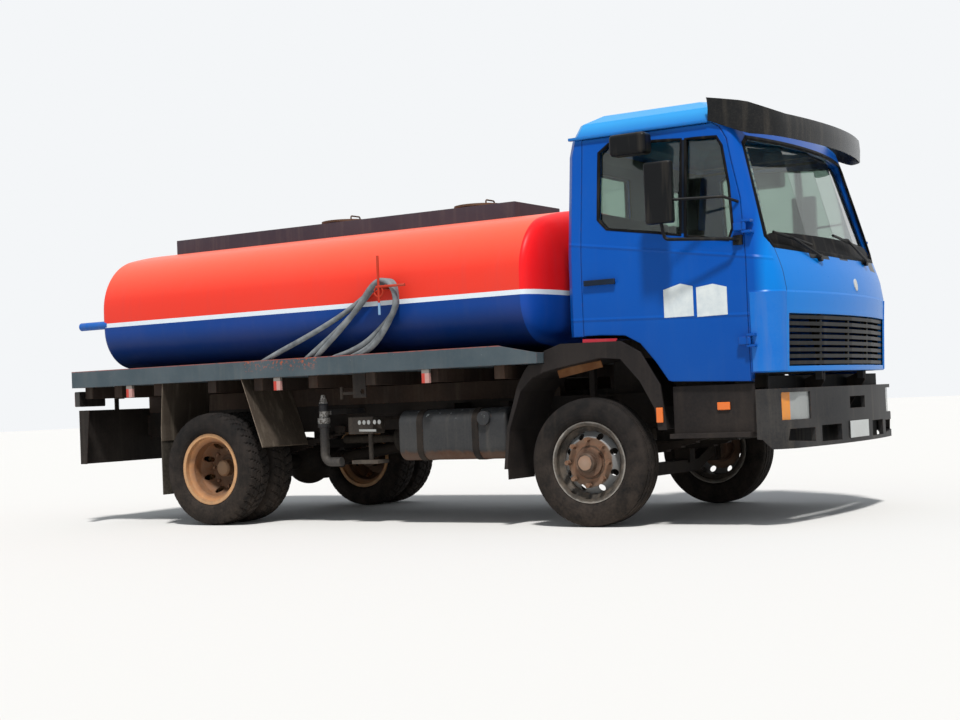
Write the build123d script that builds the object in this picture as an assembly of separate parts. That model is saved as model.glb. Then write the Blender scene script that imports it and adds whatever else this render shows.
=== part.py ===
from build123d import *
import math
import os

os.makedirs("parts", exist_ok=True)

# A light tanker truck with a tilting cab, in millimetres.
# It is drawn from the ground point under the middle of the front axle: +X forward, +Y to the
# truck's left, +Z up. The last lines move it so that the origin is under the middle of its length.

# Overall sizes
wheelbase = 3150.0
front_overhang = 1450.0
rear_overhang = 1415.0
running_gap = 0.05
seat_gap = 0.3
shut_gap = 8.0

# Wheels and tyres: 245/70 R19.5
tyre_radius = 420.0
tyre_width = 245.0
bead_radius = 248.0
flange_radius = 266.0
rim_width = 190.0
flange_thickness = 8.0
front_track = 2000.0
rear_track = 1930.0
dual_spacing = 276.0
hand_holes = 8
hub_bore = 40.0
hub_radius = 96.0
hub_cap_radius = 62.0
disc_thickness = 12.0
well_depth = 34.0
hand_hole_circle = 178.0
hand_hole_radius = 22.0
disc_flat_radius = 158.0

# Steering and axles
kingpin_y = 850.0
kingpin_radius = 19.0
beam_drop = 60.0
axle_tube_radius = 62.0

# Ladder frame
rail_outer_y = 425.0
rail_width = 70.0
rail_bottom = 660.0
rail_height = 200.0
rail_wall = 8.0
rail_front = 1230.0
rail_rear = -4480.0
rail_top = rail_bottom + rail_height
runner_height = 130.0
bearer_height = 90.0

# Deck
deck_front = -295.0
deck_rear = -wheelbase - rear_overhang
deck_half_width = 1200.0
deck_thickness = 40.0
deck_bottom = rail_top + runner_height + bearer_height
deck_top = deck_bottom + deck_thickness
rim_top = 1210.0
rim_wall = 6.0
rim_lip = 18.0
rim_chamfer_x = -594.0
rim_chamfer_drop = 60.0

# Tank
tank_front_seam = -450.0
tank_rear_seam = -4250.0
tank_bottom = 1170.0
tank_top = 2180.0
tank_half_width = 1122.0
head_depth = 120.0
box_half_width = 335.0
box_front = -920.0
box_rear = -4190.0
box_top = 2280.0
box_wall = 5.0
manhole_radius = 190.0
manhole_x = (-1420.0, -2680.0)
lid_top = 2322.0
lid_thickness = 18.0

# Cab
cab_rear = -110.0
skin = 50.0
roof_split = 2532.0
floor_thickness = 40.0
tilt_axis = (1340.0, 915.0)
hinge_radius = 13.0
door_pin_radius = 7.0
door_axis = (1152.0, 1116.0)


def block(x0, x1, y0, y1, z0, z1):
    return Pos((x0 + x1) / 2, (y0 + y1) / 2, (z0 + z1) / 2) * Box(abs(x1 - x0), abs(y1 - y0), abs(z1 - z0))


def side_prism(points, y0, y1, radius=0.0):
    """A solid whose outline is drawn in the side view (x, z)."""
    face = make_face(Polyline(*points, close=True))
    if radius:
        face = fillet(face.vertices(), radius)
    return extrude(Plane(origin=(0, y1, 0), x_dir=(1, 0, 0), z_dir=(0, -1, 0)) * face, amount=y1 - y0)


def front_prism(points, x0, x1, radius=0.0):
    """A solid whose outline is drawn in the front view (y, z)."""
    face = make_face(Polyline(*points, close=True))
    if radius:
        face = fillet(face.vertices(), radius)
    return extrude(Plane(origin=(x0, 0, 0), x_dir=(0, 1, 0), z_dir=(1, 0, 0)) * face, amount=x1 - x0)


def cylinder_y(x, y0, y1, z, radius):
    return Pos(x, (y0 + y1) / 2, z) * Rot(90, 0, 0) * Cylinder(radius, abs(y1 - y0))


def cylinder_x(x0, x1, y, z, radius):
    return Pos((x0 + x1) / 2, y, z) * Rot(0, 90, 0) * Cylinder(radius, abs(x1 - x0))


def cylinder_z(x, y, z0, z1, radius):
    return Pos(x, y, (z0 + z1) / 2) * Cylinder(radius, abs(z1 - z0))


def tube_path(points, radii, radius):
    """A round bar or tube swept along straight runs joined by tangent arcs."""
    path = FilletPolyline(*points, radius=radii)
    return sweep(Plane(origin=path @ 0, z_dir=path % 0) * Circle(radius), path=path)


def on_left(shape):
    """The same piece on the truck's other side."""
    return mirror(shape, Plane.XZ)


def together(pieces):
    """Several separate solids as one node."""
    whole = pieces[0]
    for piece in pieces[1:]:
        whole = whole + piece
    return whole


def pair(shape):
    """A right-hand piece and its mirror image as two solids of one node."""
    return together([shape, on_left(shape)])


def turned(points, x, y, z, outward):
    """Spin a (width, radius) outline about a wheel's axle; outward is -1 on the truck's right."""
    face = make_face(Polyline(*[(w * outward, r) for w, r in points], close=True))
    plane = Plane(origin=(x, y, z), x_dir=(0, 1, 0), z_dir=(1, 0, 0))
    return revolve(plane * face, Axis((x, y, z), (0, 1, 0)))


def tyre(x, y, outward):
    half = tyre_width / 2
    bead = rim_width / 2 - flange_thickness - seat_gap
    clear = flange_radius + seat_gap
    outline = [(-bead, bead_radius), (-bead, clear), (-half + 8, clear + 22), (-half, bead_radius + 84),
               (-half + 8, tyre_radius - 40), (-half + 26, tyre_radius - 8), (-half + 60, tyre_radius),
               (half - 60, tyre_radius), (half - 26, tyre_radius - 8), (half - 8, tyre_radius - 40),
               (half, bead_radius + 84), (half - 8, clear + 22), (bead, clear), (bead, bead_radius)]
    return turned(outline, x, y, tyre_radius, outward)


def rim_ring(x, y, outward):
    """A drop-centre rim section, spun."""
    w = rim_width / 2
    r = bead_radius - seat_gap
    wall = 10.0
    lip = w - flange_thickness
    outer = [(-w, flange_radius), (-lip, flange_radius), (-lip, r), (-w + 30, r), (-w + 50, r - well_depth),
             (w - 50, r - well_depth), (w - 30, r), (lip, r), (lip, flange_radius), (w, flange_radius)]
    inner = [(w, r - wall), (w - 34, r - wall), (w - 54, r - well_depth - wall),
             (-w + 54, r - well_depth - wall), (-w + 34, r - wall), (-w, r - wall)]
    return turned(outer + inner, x, y, tyre_radius, outward)


def wheel_disc(x, y, outward, face):
    """The holed disc: a flat mounting face at distance face from the rim's middle, coned out to the well."""
    t = disc_thickness
    root = 30.0 if face > 0 else -30.0
    edge = bead_radius - well_depth - 8.0
    core = hub_radius - 20
    out = [(face, core), (face, disc_flat_radius), (root, edge), (root - t, edge),
           (face - t, disc_flat_radius), (face - t, core)]
    disc = turned(out, x, y, tyre_radius, outward)
    middle = y + outward * (face + root) / 2
    for i in range(hand_holes):
        a = 2 * math.pi * (i + 0.5) / hand_holes
        disc -= cylinder_y(x + hand_hole_circle * math.cos(a), middle - 90, middle + 90,
                           tyre_radius + hand_hole_circle * math.sin(a), hand_hole_radius)
    return disc


def hub(x, y, outward, back, face, end):
    """The hub barrel, blind-bored for the spindle it turns on."""
    r = hub_cap_radius
    shape = turned([(back, 0), (end, 0), (end, r - 12), (end - 12, r), (face + 24, r), (face + 24, hub_radius),
                    (back, hub_radius)], x, y, tyre_radius, outward)
    bore = turned([(back, 0), (end - 36, 0), (end - 36, hub_bore + running_gap), (back, hub_bore + running_gap)],
                  x, y, tyre_radius, outward)
    return shape - bore


# Front wheel sections, measured outward from the tyre's middle
front_y = front_track / 2
front_face = 72.0
front_hub_back = -58.0
front_hub_end = 146.0

# Twin wheel sections, measured outward from the plane where both discs meet
twin_y = rear_track / 2
twin_hub_back = -150.0
twin_hub_end = 92.0


def front_wheel(side, outward):
    y = outward * front_y
    wheel = rim_ring(0, y, outward) + wheel_disc(0, y, outward, front_face)
    return {
        f"front_tyre_{side}": tyre(0, y, outward),
        f"front_rim_{side}": wheel + hub(0, y, outward, front_hub_back, front_face, front_hub_end),
    }


def twin_wheels(side, outward):
    tyres = []
    rims = hub(-wheelbase, outward * twin_y, outward, twin_hub_back, 0, twin_hub_end)
    for shift, way in ((dual_spacing / 2, 1), (-dual_spacing / 2, -1)):
        y = outward * (twin_y + shift)
        tyres.append(tyre(-wheelbase, y, outward))
        rims += rim_ring(-wheelbase, y, outward)
        rims += wheel_disc(-wheelbase, y, outward * way, -dual_spacing / 2 + disc_thickness)
    return {f"rear_tyres_{side}": together(tyres), f"rear_rims_{side}": rims}


def front_axle():
    """A dropped beam with an upright eye for each kingpin."""
    z = tyre_radius
    beam = block(-45, 45, -560, 560, z - beam_drop - 85, z - beam_drop)
    for s in (-1, 1):
        arm = front_prism([(s * 540, z - beam_drop - 85), (s * 540, z - beam_drop), (s * (kingpin_y - 20), z + 45),
                           (s * (kingpin_y - 20), z - 45)], -40, 40)
        eye = cylinder_z(0, s * kingpin_y, z - 55, z + 55, 44)
        pad = block(-60, 60, s * 395 - 45, s * 395 + 45, z - beam_drop - 20, spring_seat_front)
        beam += arm + eye + pad
    for s in (-1, 1):
        beam -= cylinder_z(0, s * kingpin_y, z - 60, z + 60, kingpin_radius + running_gap)
    return beam


def knuckle(outward):
    """A fork round the beam's eye, its kingpin, and the spindle that carries the wheel."""
    z = tyre_radius
    y = outward * kingpin_y
    shape = cylinder_z(0, y, z - 90, z - 56, 46) + cylinder_z(0, y, z + 56, z + 90, 46)
    shape += cylinder_z(0, y, z - 88, z + 88, kingpin_radius)
    web_in = y + outward * 46
    web_out = outward * (front_y + front_hub_back) - outward * 2
    shape += block(-46, 46, web_in, web_out, z - 90, z + 90)
    for low, high in ((z - 90, z - 56), (z + 56, z + 90)):
        shape += block(-40, 40, y, web_in + outward * 2, low, high)
    shape += cylinder_y(0, web_in, outward * (front_y + front_hub_end - 40), z, hub_bore)
    arm = block(-190, -30, y + outward * 8, y + outward * 40, z - 86, z - 60)
    return shape + arm


def rear_axle():
    z = tyre_radius
    tube_end = twin_y + twin_hub_back - 2
    shape = cylinder_y(-wheelbase, -tube_end, tube_end, z, axle_tube_radius)
    shape += cylinder_y(-wheelbase, -(twin_y + twin_hub_end - 40), twin_y + twin_hub_end - 40, z, hub_bore)
    bowl = Pos(-wheelbase, 0, z) * Sphere(185)
    nose = cylinder_x(-wheelbase + 100, -wheelbase + 330, 0, z + 20, 80)
    shape += bowl + nose
    for s in (-1, 1):
        shape += block(-wheelbase - 60, -wheelbase + 60, s * spring_y_rear - 45, s * spring_y_rear + 45,
                       z + 20, spring_seat_rear)
    return shape


# Leaf springs: middle x, side distance, seat height, span, arch height, leaves
spring_seat_front = tyre_radius + 20
spring_seat_rear = tyre_radius + 75
spring_y_front = 395.0
spring_y_rear = 455.0
spring_width = 70.0
leaf_thickness = 12.0
springs = (
    (0.0, spring_y_front, spring_seat_front, 1360.0, 95.0, 5),
    (-wheelbase, spring_y_rear, spring_seat_rear, 1400.0, 70.0, 7),
)


def leaf_pack(x, y, seat, span, arch, leaves):
    """Stacked arched leaves, each shorter than the one above it."""
    pack = None
    top = seat + leaves * leaf_thickness
    for i in range(leaves):
        half = span / 2 * (1 - i * 0.8 / leaves)
        rise = arch * (half / (span / 2)) ** 2
        z = top - i * leaf_thickness
        upper = ThreePointArc((x - half, z + rise), (x, z), (x + half, z + rise))
        lower = ThreePointArc((x - half, z + rise - leaf_thickness), (x, z - leaf_thickness),
                              (x + half, z + rise - leaf_thickness))
        ends = [Line(upper @ 0, lower @ 0), Line(upper @ 1, lower @ 1)]
        face = make_face([upper, lower] + ends)
        plane = Plane(origin=(0, y + spring_width / 2, 0), x_dir=(1, 0, 0), z_dir=(0, -1, 0))
        leaf = extrude(plane * face, amount=spring_width)
        pack = leaf if pack is None else pack + leaf
    return pack


def leaf_springs():
    packs = []
    for row in springs:
        for s in (-1, 1):
            packs.append(leaf_pack(row[0], s * row[1], *row[2:]))
    return together(packs)


def spring_top_end(row):
    return row[2] + row[5] * leaf_thickness + row[4]


def chassis_frame():
    """Two channel rails, tubes and channels across, spring hangers and the cab's tilt bearings."""
    frame = None
    for s in (-1, 1):
        web = block(rail_rear, rail_front, s * rail_outer_y, s * (rail_outer_y - rail_wall), rail_bottom, rail_top)
        flanges = [block(rail_rear, rail_front, s * rail_outer_y, s * (rail_outer_y - rail_width), z, z + rail_wall)
                   for z in (rail_bottom, rail_top - rail_wall)]
        rail = web + flanges[0] + flanges[1]
        frame = rail if frame is None else frame + rail
    inner = rail_outer_y - rail_wall
    for x, z, half, height in cross_members:
        frame += block(x - half, x + half, -inner - 1, inner + 1, z, z + height)
    for x, y, seat, span, arch, leaves in springs:
        z = seat + leaves * leaf_thickness + arch
        for end in (-1, 1):
            for s in (-1, 1):
                hx = x + end * (span / 2)
                hanger = block(hx - 45, hx + 45, s * (y - 42), s * (y + 42), z, rail_bottom + 40)
                if y - 42 > rail_outer_y - 1:
                    hanger += block(hx - 45, hx + 45, s * rail_outer_y, s * (y - 40), rail_bottom, rail_bottom + 90)
                frame += hanger
    for s in (-1, 1):
        y0, y1 = sorted((s * (rail_outer_y - 30), s * (rail_outer_y - 10)))
        frame += side_prism([(1130, rail_bottom + 20), (rail_front, rail_bottom + 20), (tilt_axis[0] + 24, 885),
                             (tilt_axis[0] + 24, tilt_axis[1] + 22), (tilt_axis[0] - 24, tilt_axis[1] + 22),
                             (1130, rail_top)], y0, y1)
        frame -= cylinder_y(tilt_axis[0], s * (rail_outer_y - 60), s * (rail_outer_y + 20), tilt_axis[1],
                            hinge_radius + running_gap)
    return frame


# Cross members of the frame: x, bottom z, half length, height
cross_members = (
    (1180.0, rail_bottom + 10, 40.0, 120.0),
    (-1120.0, rail_bottom + 75, 45.0, 115.0),
    (-2200.0, rail_bottom + 20, 45.0, 150.0),
    (-2900.0, rail_bottom + 40, 40.0, 120.0),
    (-4430.0, rail_bottom, 45.0, 190.0),
)


def engine():
    """The engine and gearbox as one plain block."""
    shape = block(-200, 700, -290, 290, 520, 1230) + block(-900, -200, -170, 170, 560, 900)
    return shape - block(-110, 110, -301, 301, 500, tyre_radius + 190)


def drive_shaft():
    """From the gearbox's flange to the axle's nose."""
    start = (-920.0, 0.0, 700.0)
    end = (-wheelbase + 350.0, 0.0, tyre_radius + 20.0)
    plane = Plane(origin=start, z_dir=(end[0] - start[0], 0, end[2] - start[2]))
    shaft = extrude(plane * Circle(45), amount=math.dist(start, end))
    front_yoke = cylinder_x(start[0] - 25, -900 - seat_gap, 0, start[2], 58)
    rear_yoke = cylinder_x(end[0] - 20 + seat_gap, end[0] + 25, 0, end[2], 58)
    return shaft + front_yoke + rear_yoke


# Fuel tank on the right: rear and front x, outer y, width, bottom z, height
fuel_rear = -1520.0
fuel_front = -640.0
fuel_outer_y = 1060.0
fuel_width = 400.0
fuel_bottom = 450.0
fuel_height = 350.0
fuel_strap_x = (-1335.0, -880.0)
strap_width = 50.0
strap_thickness = 4.0


def fuel_outline(inset):
    """The fuel tank's rounded section in the front view, on the truck's right."""
    i = inset
    y0 = -fuel_outer_y + i
    y1 = -fuel_outer_y + fuel_width - i
    z0 = fuel_bottom + i
    z1 = fuel_bottom + fuel_height - i
    return [(y0, z0), (y1, z0), (y1, z1), (y0, z1)]


def fuel_tank():
    tank = front_prism(fuel_outline(0), fuel_rear, fuel_front, 90)
    rims = tank.faces().sort_by(Axis.X)
    tank = fillet(list(rims[0].edges()) + list(rims[-1].edges()), 22)
    filler = cylinder_y(fuel_front - 160, -fuel_outer_y + 40, -fuel_outer_y - 25, fuel_bottom + fuel_height - 70, 48)
    return tank + filler


def fuel_straps():
    """Steel straps round the fuel tank and the brackets that hang it from the rail."""
    straps = []
    for x in fuel_strap_x:
        gap = seat_gap + strap_thickness
        outer = front_prism(fuel_outline(-gap), x - strap_width / 2, x + strap_width / 2, 90 + gap)
        inner = front_prism(fuel_outline(-seat_gap), x - strap_width, x + strap_width, 90 + seat_gap)
        inside_y = -fuel_outer_y + fuel_width
        bracket = block(x - 35, x + 35, inside_y + gap - 1, -rail_outer_y, fuel_bottom + 60, rail_top - 20)
        straps.append(outer - inner + bracket)
    return together(straps)


def deck_bearers():
    """Runners on the rails and channels across them."""
    frame = None
    for s in (-1, 1):
        runner = block(rail_rear, -560, s * rail_outer_y, s * (rail_outer_y - rail_width), rail_top,
                       rail_top + runner_height)
        frame = runner if frame is None else frame + runner
    for x in bearer_x:
        frame += block(x - 40, x + 40, -deck_half_width + 60, deck_half_width - 60,
                       rail_top + runner_height, deck_bottom)
    return frame


bearer_x = (-620.0, -1150.0, -1680.0, -2190.0, -2700.0, -3150.0, -3700.0, -4120.0, -4440.0)


def deck_floor():
    half = deck_half_width - rim_wall
    return block(deck_rear + rim_wall, deck_front - rim_wall, -half, half, deck_bottom, deck_top)


def deck_rim():
    """The folded steel rim round the deck, dipping at its front corners."""
    low = deck_bottom
    dip = rim_top - rim_chamfer_drop
    outline = [(deck_rear, low), (deck_front, low), (deck_front, dip), (rim_chamfer_x, rim_top), (deck_rear, rim_top)]
    solid = side_prism(outline, -deck_half_width, deck_half_width)
    w = rim_wall
    half = deck_half_width - w
    inside = block(deck_rear + w, deck_front - w, -half, half, low - 1, rim_top - w)
    open_top = block(deck_rear + rim_lip, deck_front - rim_lip, -deck_half_width + rim_lip,
                     deck_half_width - rim_lip, low - 1, rim_top + 1)
    return solid - inside - open_top


# Corner radii of the tank's section and the ring of steps that dishes each head: (out, scale)
tank_shoulder = 420.0
tank_belly = 300.0
tank_middle = (tank_bottom + tank_top) / 2
head_rings = ((0.0, 1.0), (34.0, 0.985), (64.0, 0.945), (88.0, 0.86), (106.0, 0.7), (120.0, 0.34))


def tank_section(x, size):
    """The tank's rounded section: crowned top, bottom and sides with tangent corner arcs."""
    w = tank_half_width * size
    top = tank_middle + (tank_top - tank_middle) * size
    low = tank_middle - (tank_middle - tank_bottom) * size
    side = w - 42 * size
    high = top - 175 * size
    deep = low + 80 * size
    crown = ThreePointArc((-side, high), (0, top), (side, high))
    right = ThreePointArc((side, high), (w, (high + deep) / 2), (side, deep))
    belly = ThreePointArc((side, deep), (0, low), (-side, deep))
    left = ThreePointArc((-side, deep), (-w, (high + deep) / 2), (-side, high))
    face = make_face([crown, right, belly, left])
    corners = face.vertices().sort_by(Axis.Y)
    face = fillet(corners[:2], tank_belly * size)
    corners = [v for v in face.vertices() if abs(v.Y - high) < 0.01 and abs(abs(v.X) - side) < 0.01]
    face = fillet(corners, tank_shoulder * size)
    return Plane(origin=(x, 0, 0), x_dir=(0, 1, 0), z_dir=(1, 0, 0)) * face


def tank_barrel():
    return extrude(tank_section(tank_rear_seam, 1.0), amount=tank_front_seam - tank_rear_seam)


def tank_heads():
    """Dished ends; the rear one is the front one's mirror image."""
    rings = [tank_section(tank_front_seam + out, size) for out, size in head_rings]
    front = loft(rings, ruled=True)
    middle = Plane(origin=((tank_front_seam + tank_rear_seam) / 2, 0, 0), z_dir=(1, 0, 0))
    return together([front, mirror(front, middle)])


skid_y = 430.0
skid_width = 100.0


def tank_skids(barrel):
    """Two long bearers between the deck and the tank's belly."""
    skids = None
    for s in (-1, 1):
        skid = block(-4150, -550, s * (skid_y - skid_width / 2), s * (skid_y + skid_width / 2), deck_top,
                     tank_bottom + 60)
        skid -= barrel
        skids = skid if skids is None else skids + skid
    return skids


def spill_box(barrel):
    """The upright rim round the tank's top, cut to sit on its crown."""
    w = box_wall
    walls = block(box_rear, box_front, -box_half_width, box_half_width, tank_top - 140, box_top)
    walls -= block(box_rear + w, box_front - w, -box_half_width + w, box_half_width - w, tank_top - 200, box_top + 1)
    return walls - barrel


def manholes(barrel):
    """Round necks on the crown, each with a pair of lugs and a pin for its lid."""
    necks = []
    for x in manhole_x:
        neck = cylinder_z(x, 0, tank_top - 40, lid_bottom, manhole_radius)
        neck -= cylinder_z(x, 0, tank_top + 20, lid_bottom + 1, manhole_radius - 8)
        px = x - lid_hinge_reach
        for s in (-1, 1):
            neck += block(px - 12, x - manhole_radius + 12, s * 36, s * 46, lid_bottom - 30, lid_bottom - 12)
            neck += block(px - 12, px + 12, s * 36, s * 46, lid_bottom - 13, lid_bottom + 12)
        neck += cylinder_y(px, -46, 46, lid_bottom, lid_pin_radius)
        necks.append(neck - barrel)
    return together(necks)


lid_bottom = lid_top - lid_thickness
lid_hinge_reach = manhole_radius + 34.0
lid_pin_radius = 6.0


def lid(x):
    """A flat round lid with a pressed rib ring, a handle and its hinge barrel."""
    low = lid_bottom + seat_gap
    plate = cylinder_z(x, 0, low, lid_top, manhole_radius + 8)
    plate -= cylinder_z(x, 0, lid_top - 6, lid_top + 1, manhole_radius - 30)
    px = x - lid_hinge_reach
    leaf = block(px, x - manhole_radius + 2, -30, 30, low, low + 10)
    barrel = cylinder_y(px, -30, 30, lid_bottom, 13)
    bore = cylinder_y(px, -31, 31, lid_bottom, lid_pin_radius + running_gap)
    grip = tube_path([(x + 90, -60, lid_top - 8), (x + 90, -60, lid_top + 34), (x + 90, 60, lid_top + 34),
                      (x + 90, 60, lid_top - 8)], 14, 6)
    return plate + leaf + barrel - bore + grip


# Hose hook on the tank's right flank
hook_x = -1490.0
hook_z = 1660.0
hook_end_y = -1268.0
hook_bar = 9.0


def hose_hook(barrel):
    """A short arm with an upright and a cross bar that keep the loops on it."""
    arm = cylinder_y(hook_x, hook_end_y, -tank_half_width + 60, hook_z, hook_bar + 2)
    upright = cylinder_z(hook_x, hook_end_y, 1470, 1880, hook_bar)
    cross = cylinder_x(hook_x - 20, hook_x + 220, hook_end_y, hook_z + 4, hook_bar)
    return arm - barrel + upright + cross


# Delivery hose: three loops hang on the hook and run along the deck, inside its rim.
hose_radius = 19.0
hose_floor = deck_top + hose_radius + seat_gap
# Each loop: where its rear leg and its front leg land, y on the hook, reach of its front bulge
loops = (
    (-2690.0, -2020.0, -1152.0, -1425.0),
    (-2260.0, -1850.0, -1194.0, -1400.0),
    (-2180.0, -1800.0, -1236.0, -1378.0),
)
outer_strands = (-1158.0, -1116.0, -1074.0)
inner_strands = (-652.0, -694.0, -736.0)
strand_turn_x = -4010.0
strand_middle_y = -926.0
hose_start_x = -4100.0
hose_end_x = -3700.0


def loop_points(k):
    """One loop: in along its inner strand, up the front leg, over the hook and down the rear leg."""
    rear_land, front_land, y, bulge = loops[k]
    inner = inner_strands[k]
    outer = outer_strands[k]
    points = []
    for x, bow in ((-3560, 0), (-3080, 6), (-2640, 0)):
        points.append((x, inner + bow, hose_floor))
    points.append((front_land - 330, inner - 95, hose_floor))
    points.append((front_land - 120, -1100, hose_floor + 4))
    for t in (0.0, 0.33, 0.66):
        along = front_land + (bulge - 60 - front_land) * t
        points.append((along, -1150 + (y + 1150) * t ** 2.5, 1192 + (1400 - 1192) * t ** 1.5))
    points.append((bulge, y, 1500))
    points.append((bulge + 5, y, 1625))
    points.append((hook_x + 45, y, 1712))
    points.append((hook_x - 60, y, 1706))
    for t in (0.2, 0.42, 0.64, 0.84):
        x = hook_x - 95 + (rear_land - hook_x + 95) * t
        points.append((x, y + (-1154 - y) * t, 1690 - 500 * t ** 0.75))
    points.append((rear_land - 60, (outer - 1156) / 2, hose_floor + 10))
    return points


def hose_points():
    """The whole route, from the deck outlet at the rear to the coupling inside the last turn."""
    points = [(hose_start_x + 60, inner_strands[0], hose_floor)]
    for k in range(len(loops)):
        points += loop_points(k)
        if k + 1 < len(loops):
            reach = strand_middle_y - outer_strands[k]
            for x in (-3180, -3620):
                if x < loops[k][0] - 200:
                    points.append((x, outer_strands[k] + 5, hose_floor))
            for angle in (-67.5, -22.5, 22.5, 67.5):
                a = math.radians(angle)
                wide = reach / math.cos(math.radians(22.5))
                points.append((strand_turn_x - wide * math.cos(a), strand_middle_y + wide * math.sin(a), hose_floor))
    points += [(-2880, outer_strands[2] + 6, hose_floor), (-3330, outer_strands[2], hose_floor),
               (hose_end_x, outer_strands[2], hose_floor)]
    return points


def bend_radii(points):
    """0.45 of the shorter run at each corner over the tangent of half its turn."""
    radii = []
    for a, b, c in zip(points, points[1:], points[2:]):
        into = Vector(*b) - Vector(*a)
        out = Vector(*c) - Vector(*b)
        turn = into.get_angle(out)
        radii.append(0.45 * min(into.length, out.length) / math.tan(math.radians(turn) / 2))
    return radii


def delivery_hose():
    points = hose_points()
    radii = bend_radii(points)
    tube = tube_path(points, radii, hose_radius)
    length = sum(math.dist(a, b) for a, b in zip(points, points[1:]))
    print("hose runs", round(length), "volume over section", round(tube.volume / (math.pi * hose_radius ** 2)))
    print("hose radii", [round(r) for r in radii])
    return tube


# Discharge pipe, meter and levers under the deck's right edge
pipe_x = -2290.0
pipe_y = -900.0
pipe_radius = 34.0


def delivery_pipe():
    """A riser with a union and a cone cap, an elbow at its foot and an arm to the frame."""
    x, y = pipe_x, pipe_y
    tube = tube_path([(x, y, 860), (x, y, 446), (x + 150, y, 446)], 60, pipe_radius)
    cap = Pos(x, y, 900) * Cone(pipe_radius + 4, 14, 80)
    union = cylinder_z(x, y, 700, 770, pipe_radius + 12)
    arm = block(x - 25, x + 25, y, -rail_outer_y, 790, 830)
    return tube + cap + union + arm


def meter():
    """The meter's box on a bracket from the frame, with its post and foot below."""
    box = fillet(block(-2010, -1790, -985, -835, 645, 770).edges(), 8)
    bracket = block(-1960, -1840, -836, -rail_outer_y, 740, 764)
    knob = cylinder_x(-1791, -1755, -910, 705, 26)
    post = cylinder_z(-1865, -910, 455, 650, 17)
    foot = block(-1990, -1760, -980, -840, 430, 456)
    return box + bracket + knob + post + foot


def valve_levers():
    """A plate under the deck with its lever beside it."""
    plate = block(-1935, -1820, -1010, -1000, 905, deck_bottom) - cylinder_y(-1850, -1020, -990, 950, 18)
    tongue = block(-2040, -1930, -1008, -1002, 930, 952)
    grip = cylinder_z(-2040, -1005, 900, 990, 12)
    return plate + tongue + grip


# Boxes and reservoirs on the left: outer y and inner y
left_outer_y = 1050.0
left_inner_y = 640.0


def battery_box():
    """The battery box and two air reservoirs hung on the left rail."""
    box = fillet(block(-1420, -760, left_inner_y, left_outer_y, 480, 800).edges(), 14)
    box += block(-1350, -830, rail_outer_y, left_inner_y + 1, 700, 780)
    tanks = None
    for z in (560, 760):
        tank = fillet(cylinder_x(-2500, -1650, 780, z, 105).edges(), 40)
        tanks = tank if tanks is None else tanks + tank
    for x in (-2350, -1800):
        tanks += block(x - 25, x + 25, rail_outer_y, 800, 640, 690)
    return together([box, tanks])


def silencer():
    """A silencer beside the drive shaft, hung under the right rail, with its tail pipe."""
    y = -(rail_outer_y - rail_width) + 125
    drum = fillet(cylinder_x(-2080, -1300, y, 590, 110).edges(), 30)
    pipe = cylinder_x(-2600, -2079, y, 590, 32) + cylinder_x(-1301, -1000, y, 590, 32)
    hangers = None
    for x in (-1900, -1480):
        strap = block(x - 20, x + 20, -rail_outer_y + 10, y - 60, rail_bottom - 14, rail_bottom)
        hangers = strap if hangers is None else hangers + strap
    return drum + pipe + hangers


wing_outer_y = 1195.0
wing_inner_y = 650.0


def rear_wings():
    """Sloping sheets ahead of and behind the twin wheels, hung from the deck."""
    t = 5.0
    front = side_prism([(-2640, 577), (-2820, deck_bottom), (-2820 - t, deck_bottom), (-2640 - t, 570)],
                       -wing_outer_y + 6, -wing_inner_y)
    rear = side_prism([(-3605, deck_bottom), (-3630, 760), (-3630, 640), (-3630 - t, 640), (-3630 - t, 760),
                       (-3605 - t, deck_bottom)], -wing_outer_y + 6, -wing_inner_y)
    return together([front, rear, on_left(front), on_left(rear)])


def mud_flaps():
    """Rubber flaps below the rear sheets."""
    flap = block(-3643 - seat_gap, -3635 - seat_gap, -wing_outer_y + 10, -wing_inner_y - 60, 230, 750)
    return pair(flap)


def tail_panel():
    """The wide panel across the tail below the rails' ends, folded forward at its sides."""
    panel = block(-4506, -4500, -1190, 1190, 475, 900)
    for s in (-1, 1):
        panel += side_prism([(-4500, 475), (-4500, 900), (-4395, 900), (-4440, 475)],
                            *sorted((s * 1184, s * 1190)))
        panel += block(-4501, rail_rear, s * (rail_outer_y - 60), s * rail_outer_y, 680, 840)
        panel += block(-4506, -4494, s * 760, s * 800, 899, rail_top + runner_height)
        panel += block(-4506, -4430, s * 760, s * 800, rail_top + runner_height - 6, rail_top + runner_height)
    return panel


def rear_lamps():
    """A lamp cluster at each side of the tail, on the panel's top edge."""
    lamp = fillet(block(-4560, -4507, -1180, -900, 930, 1050).edges().filter_by(Axis.X), 12)
    lamp += block(-4550, -4520, -1060, -1020, 1045, deck_bottom)
    return pair(lamp)


def side_lamps():
    """Side marker lamps under the deck's edge."""
    lamps = []
    for x in side_lamp_x:
        lamp = block(x - 30, x + 30, -1196, -1170, deck_bottom - 95, deck_bottom)
        lamps += [lamp, on_left(lamp)]
    return together(lamps)


side_lamp_x = (-1180.0, -2480.0, -3950.0)


# Bumper: corner points of its plan (x, |y|) from the centre outward, and the height of its edges
bumper_plan = ((1442.0, 0.0), (1426.0, 440.0), (1374.0, 877.0), (1310.0, 1020.0), (1250.0, 1085.0), (1170.0, 1100.0))
bumper_low = 480.0
bumper_high = 849.0
bumper_wall = 36.0
lamp_low = 655.0
lamp_high = 825.0
lamp_inner_y = 750.0
lamp_outer_y = 1030.0


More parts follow.
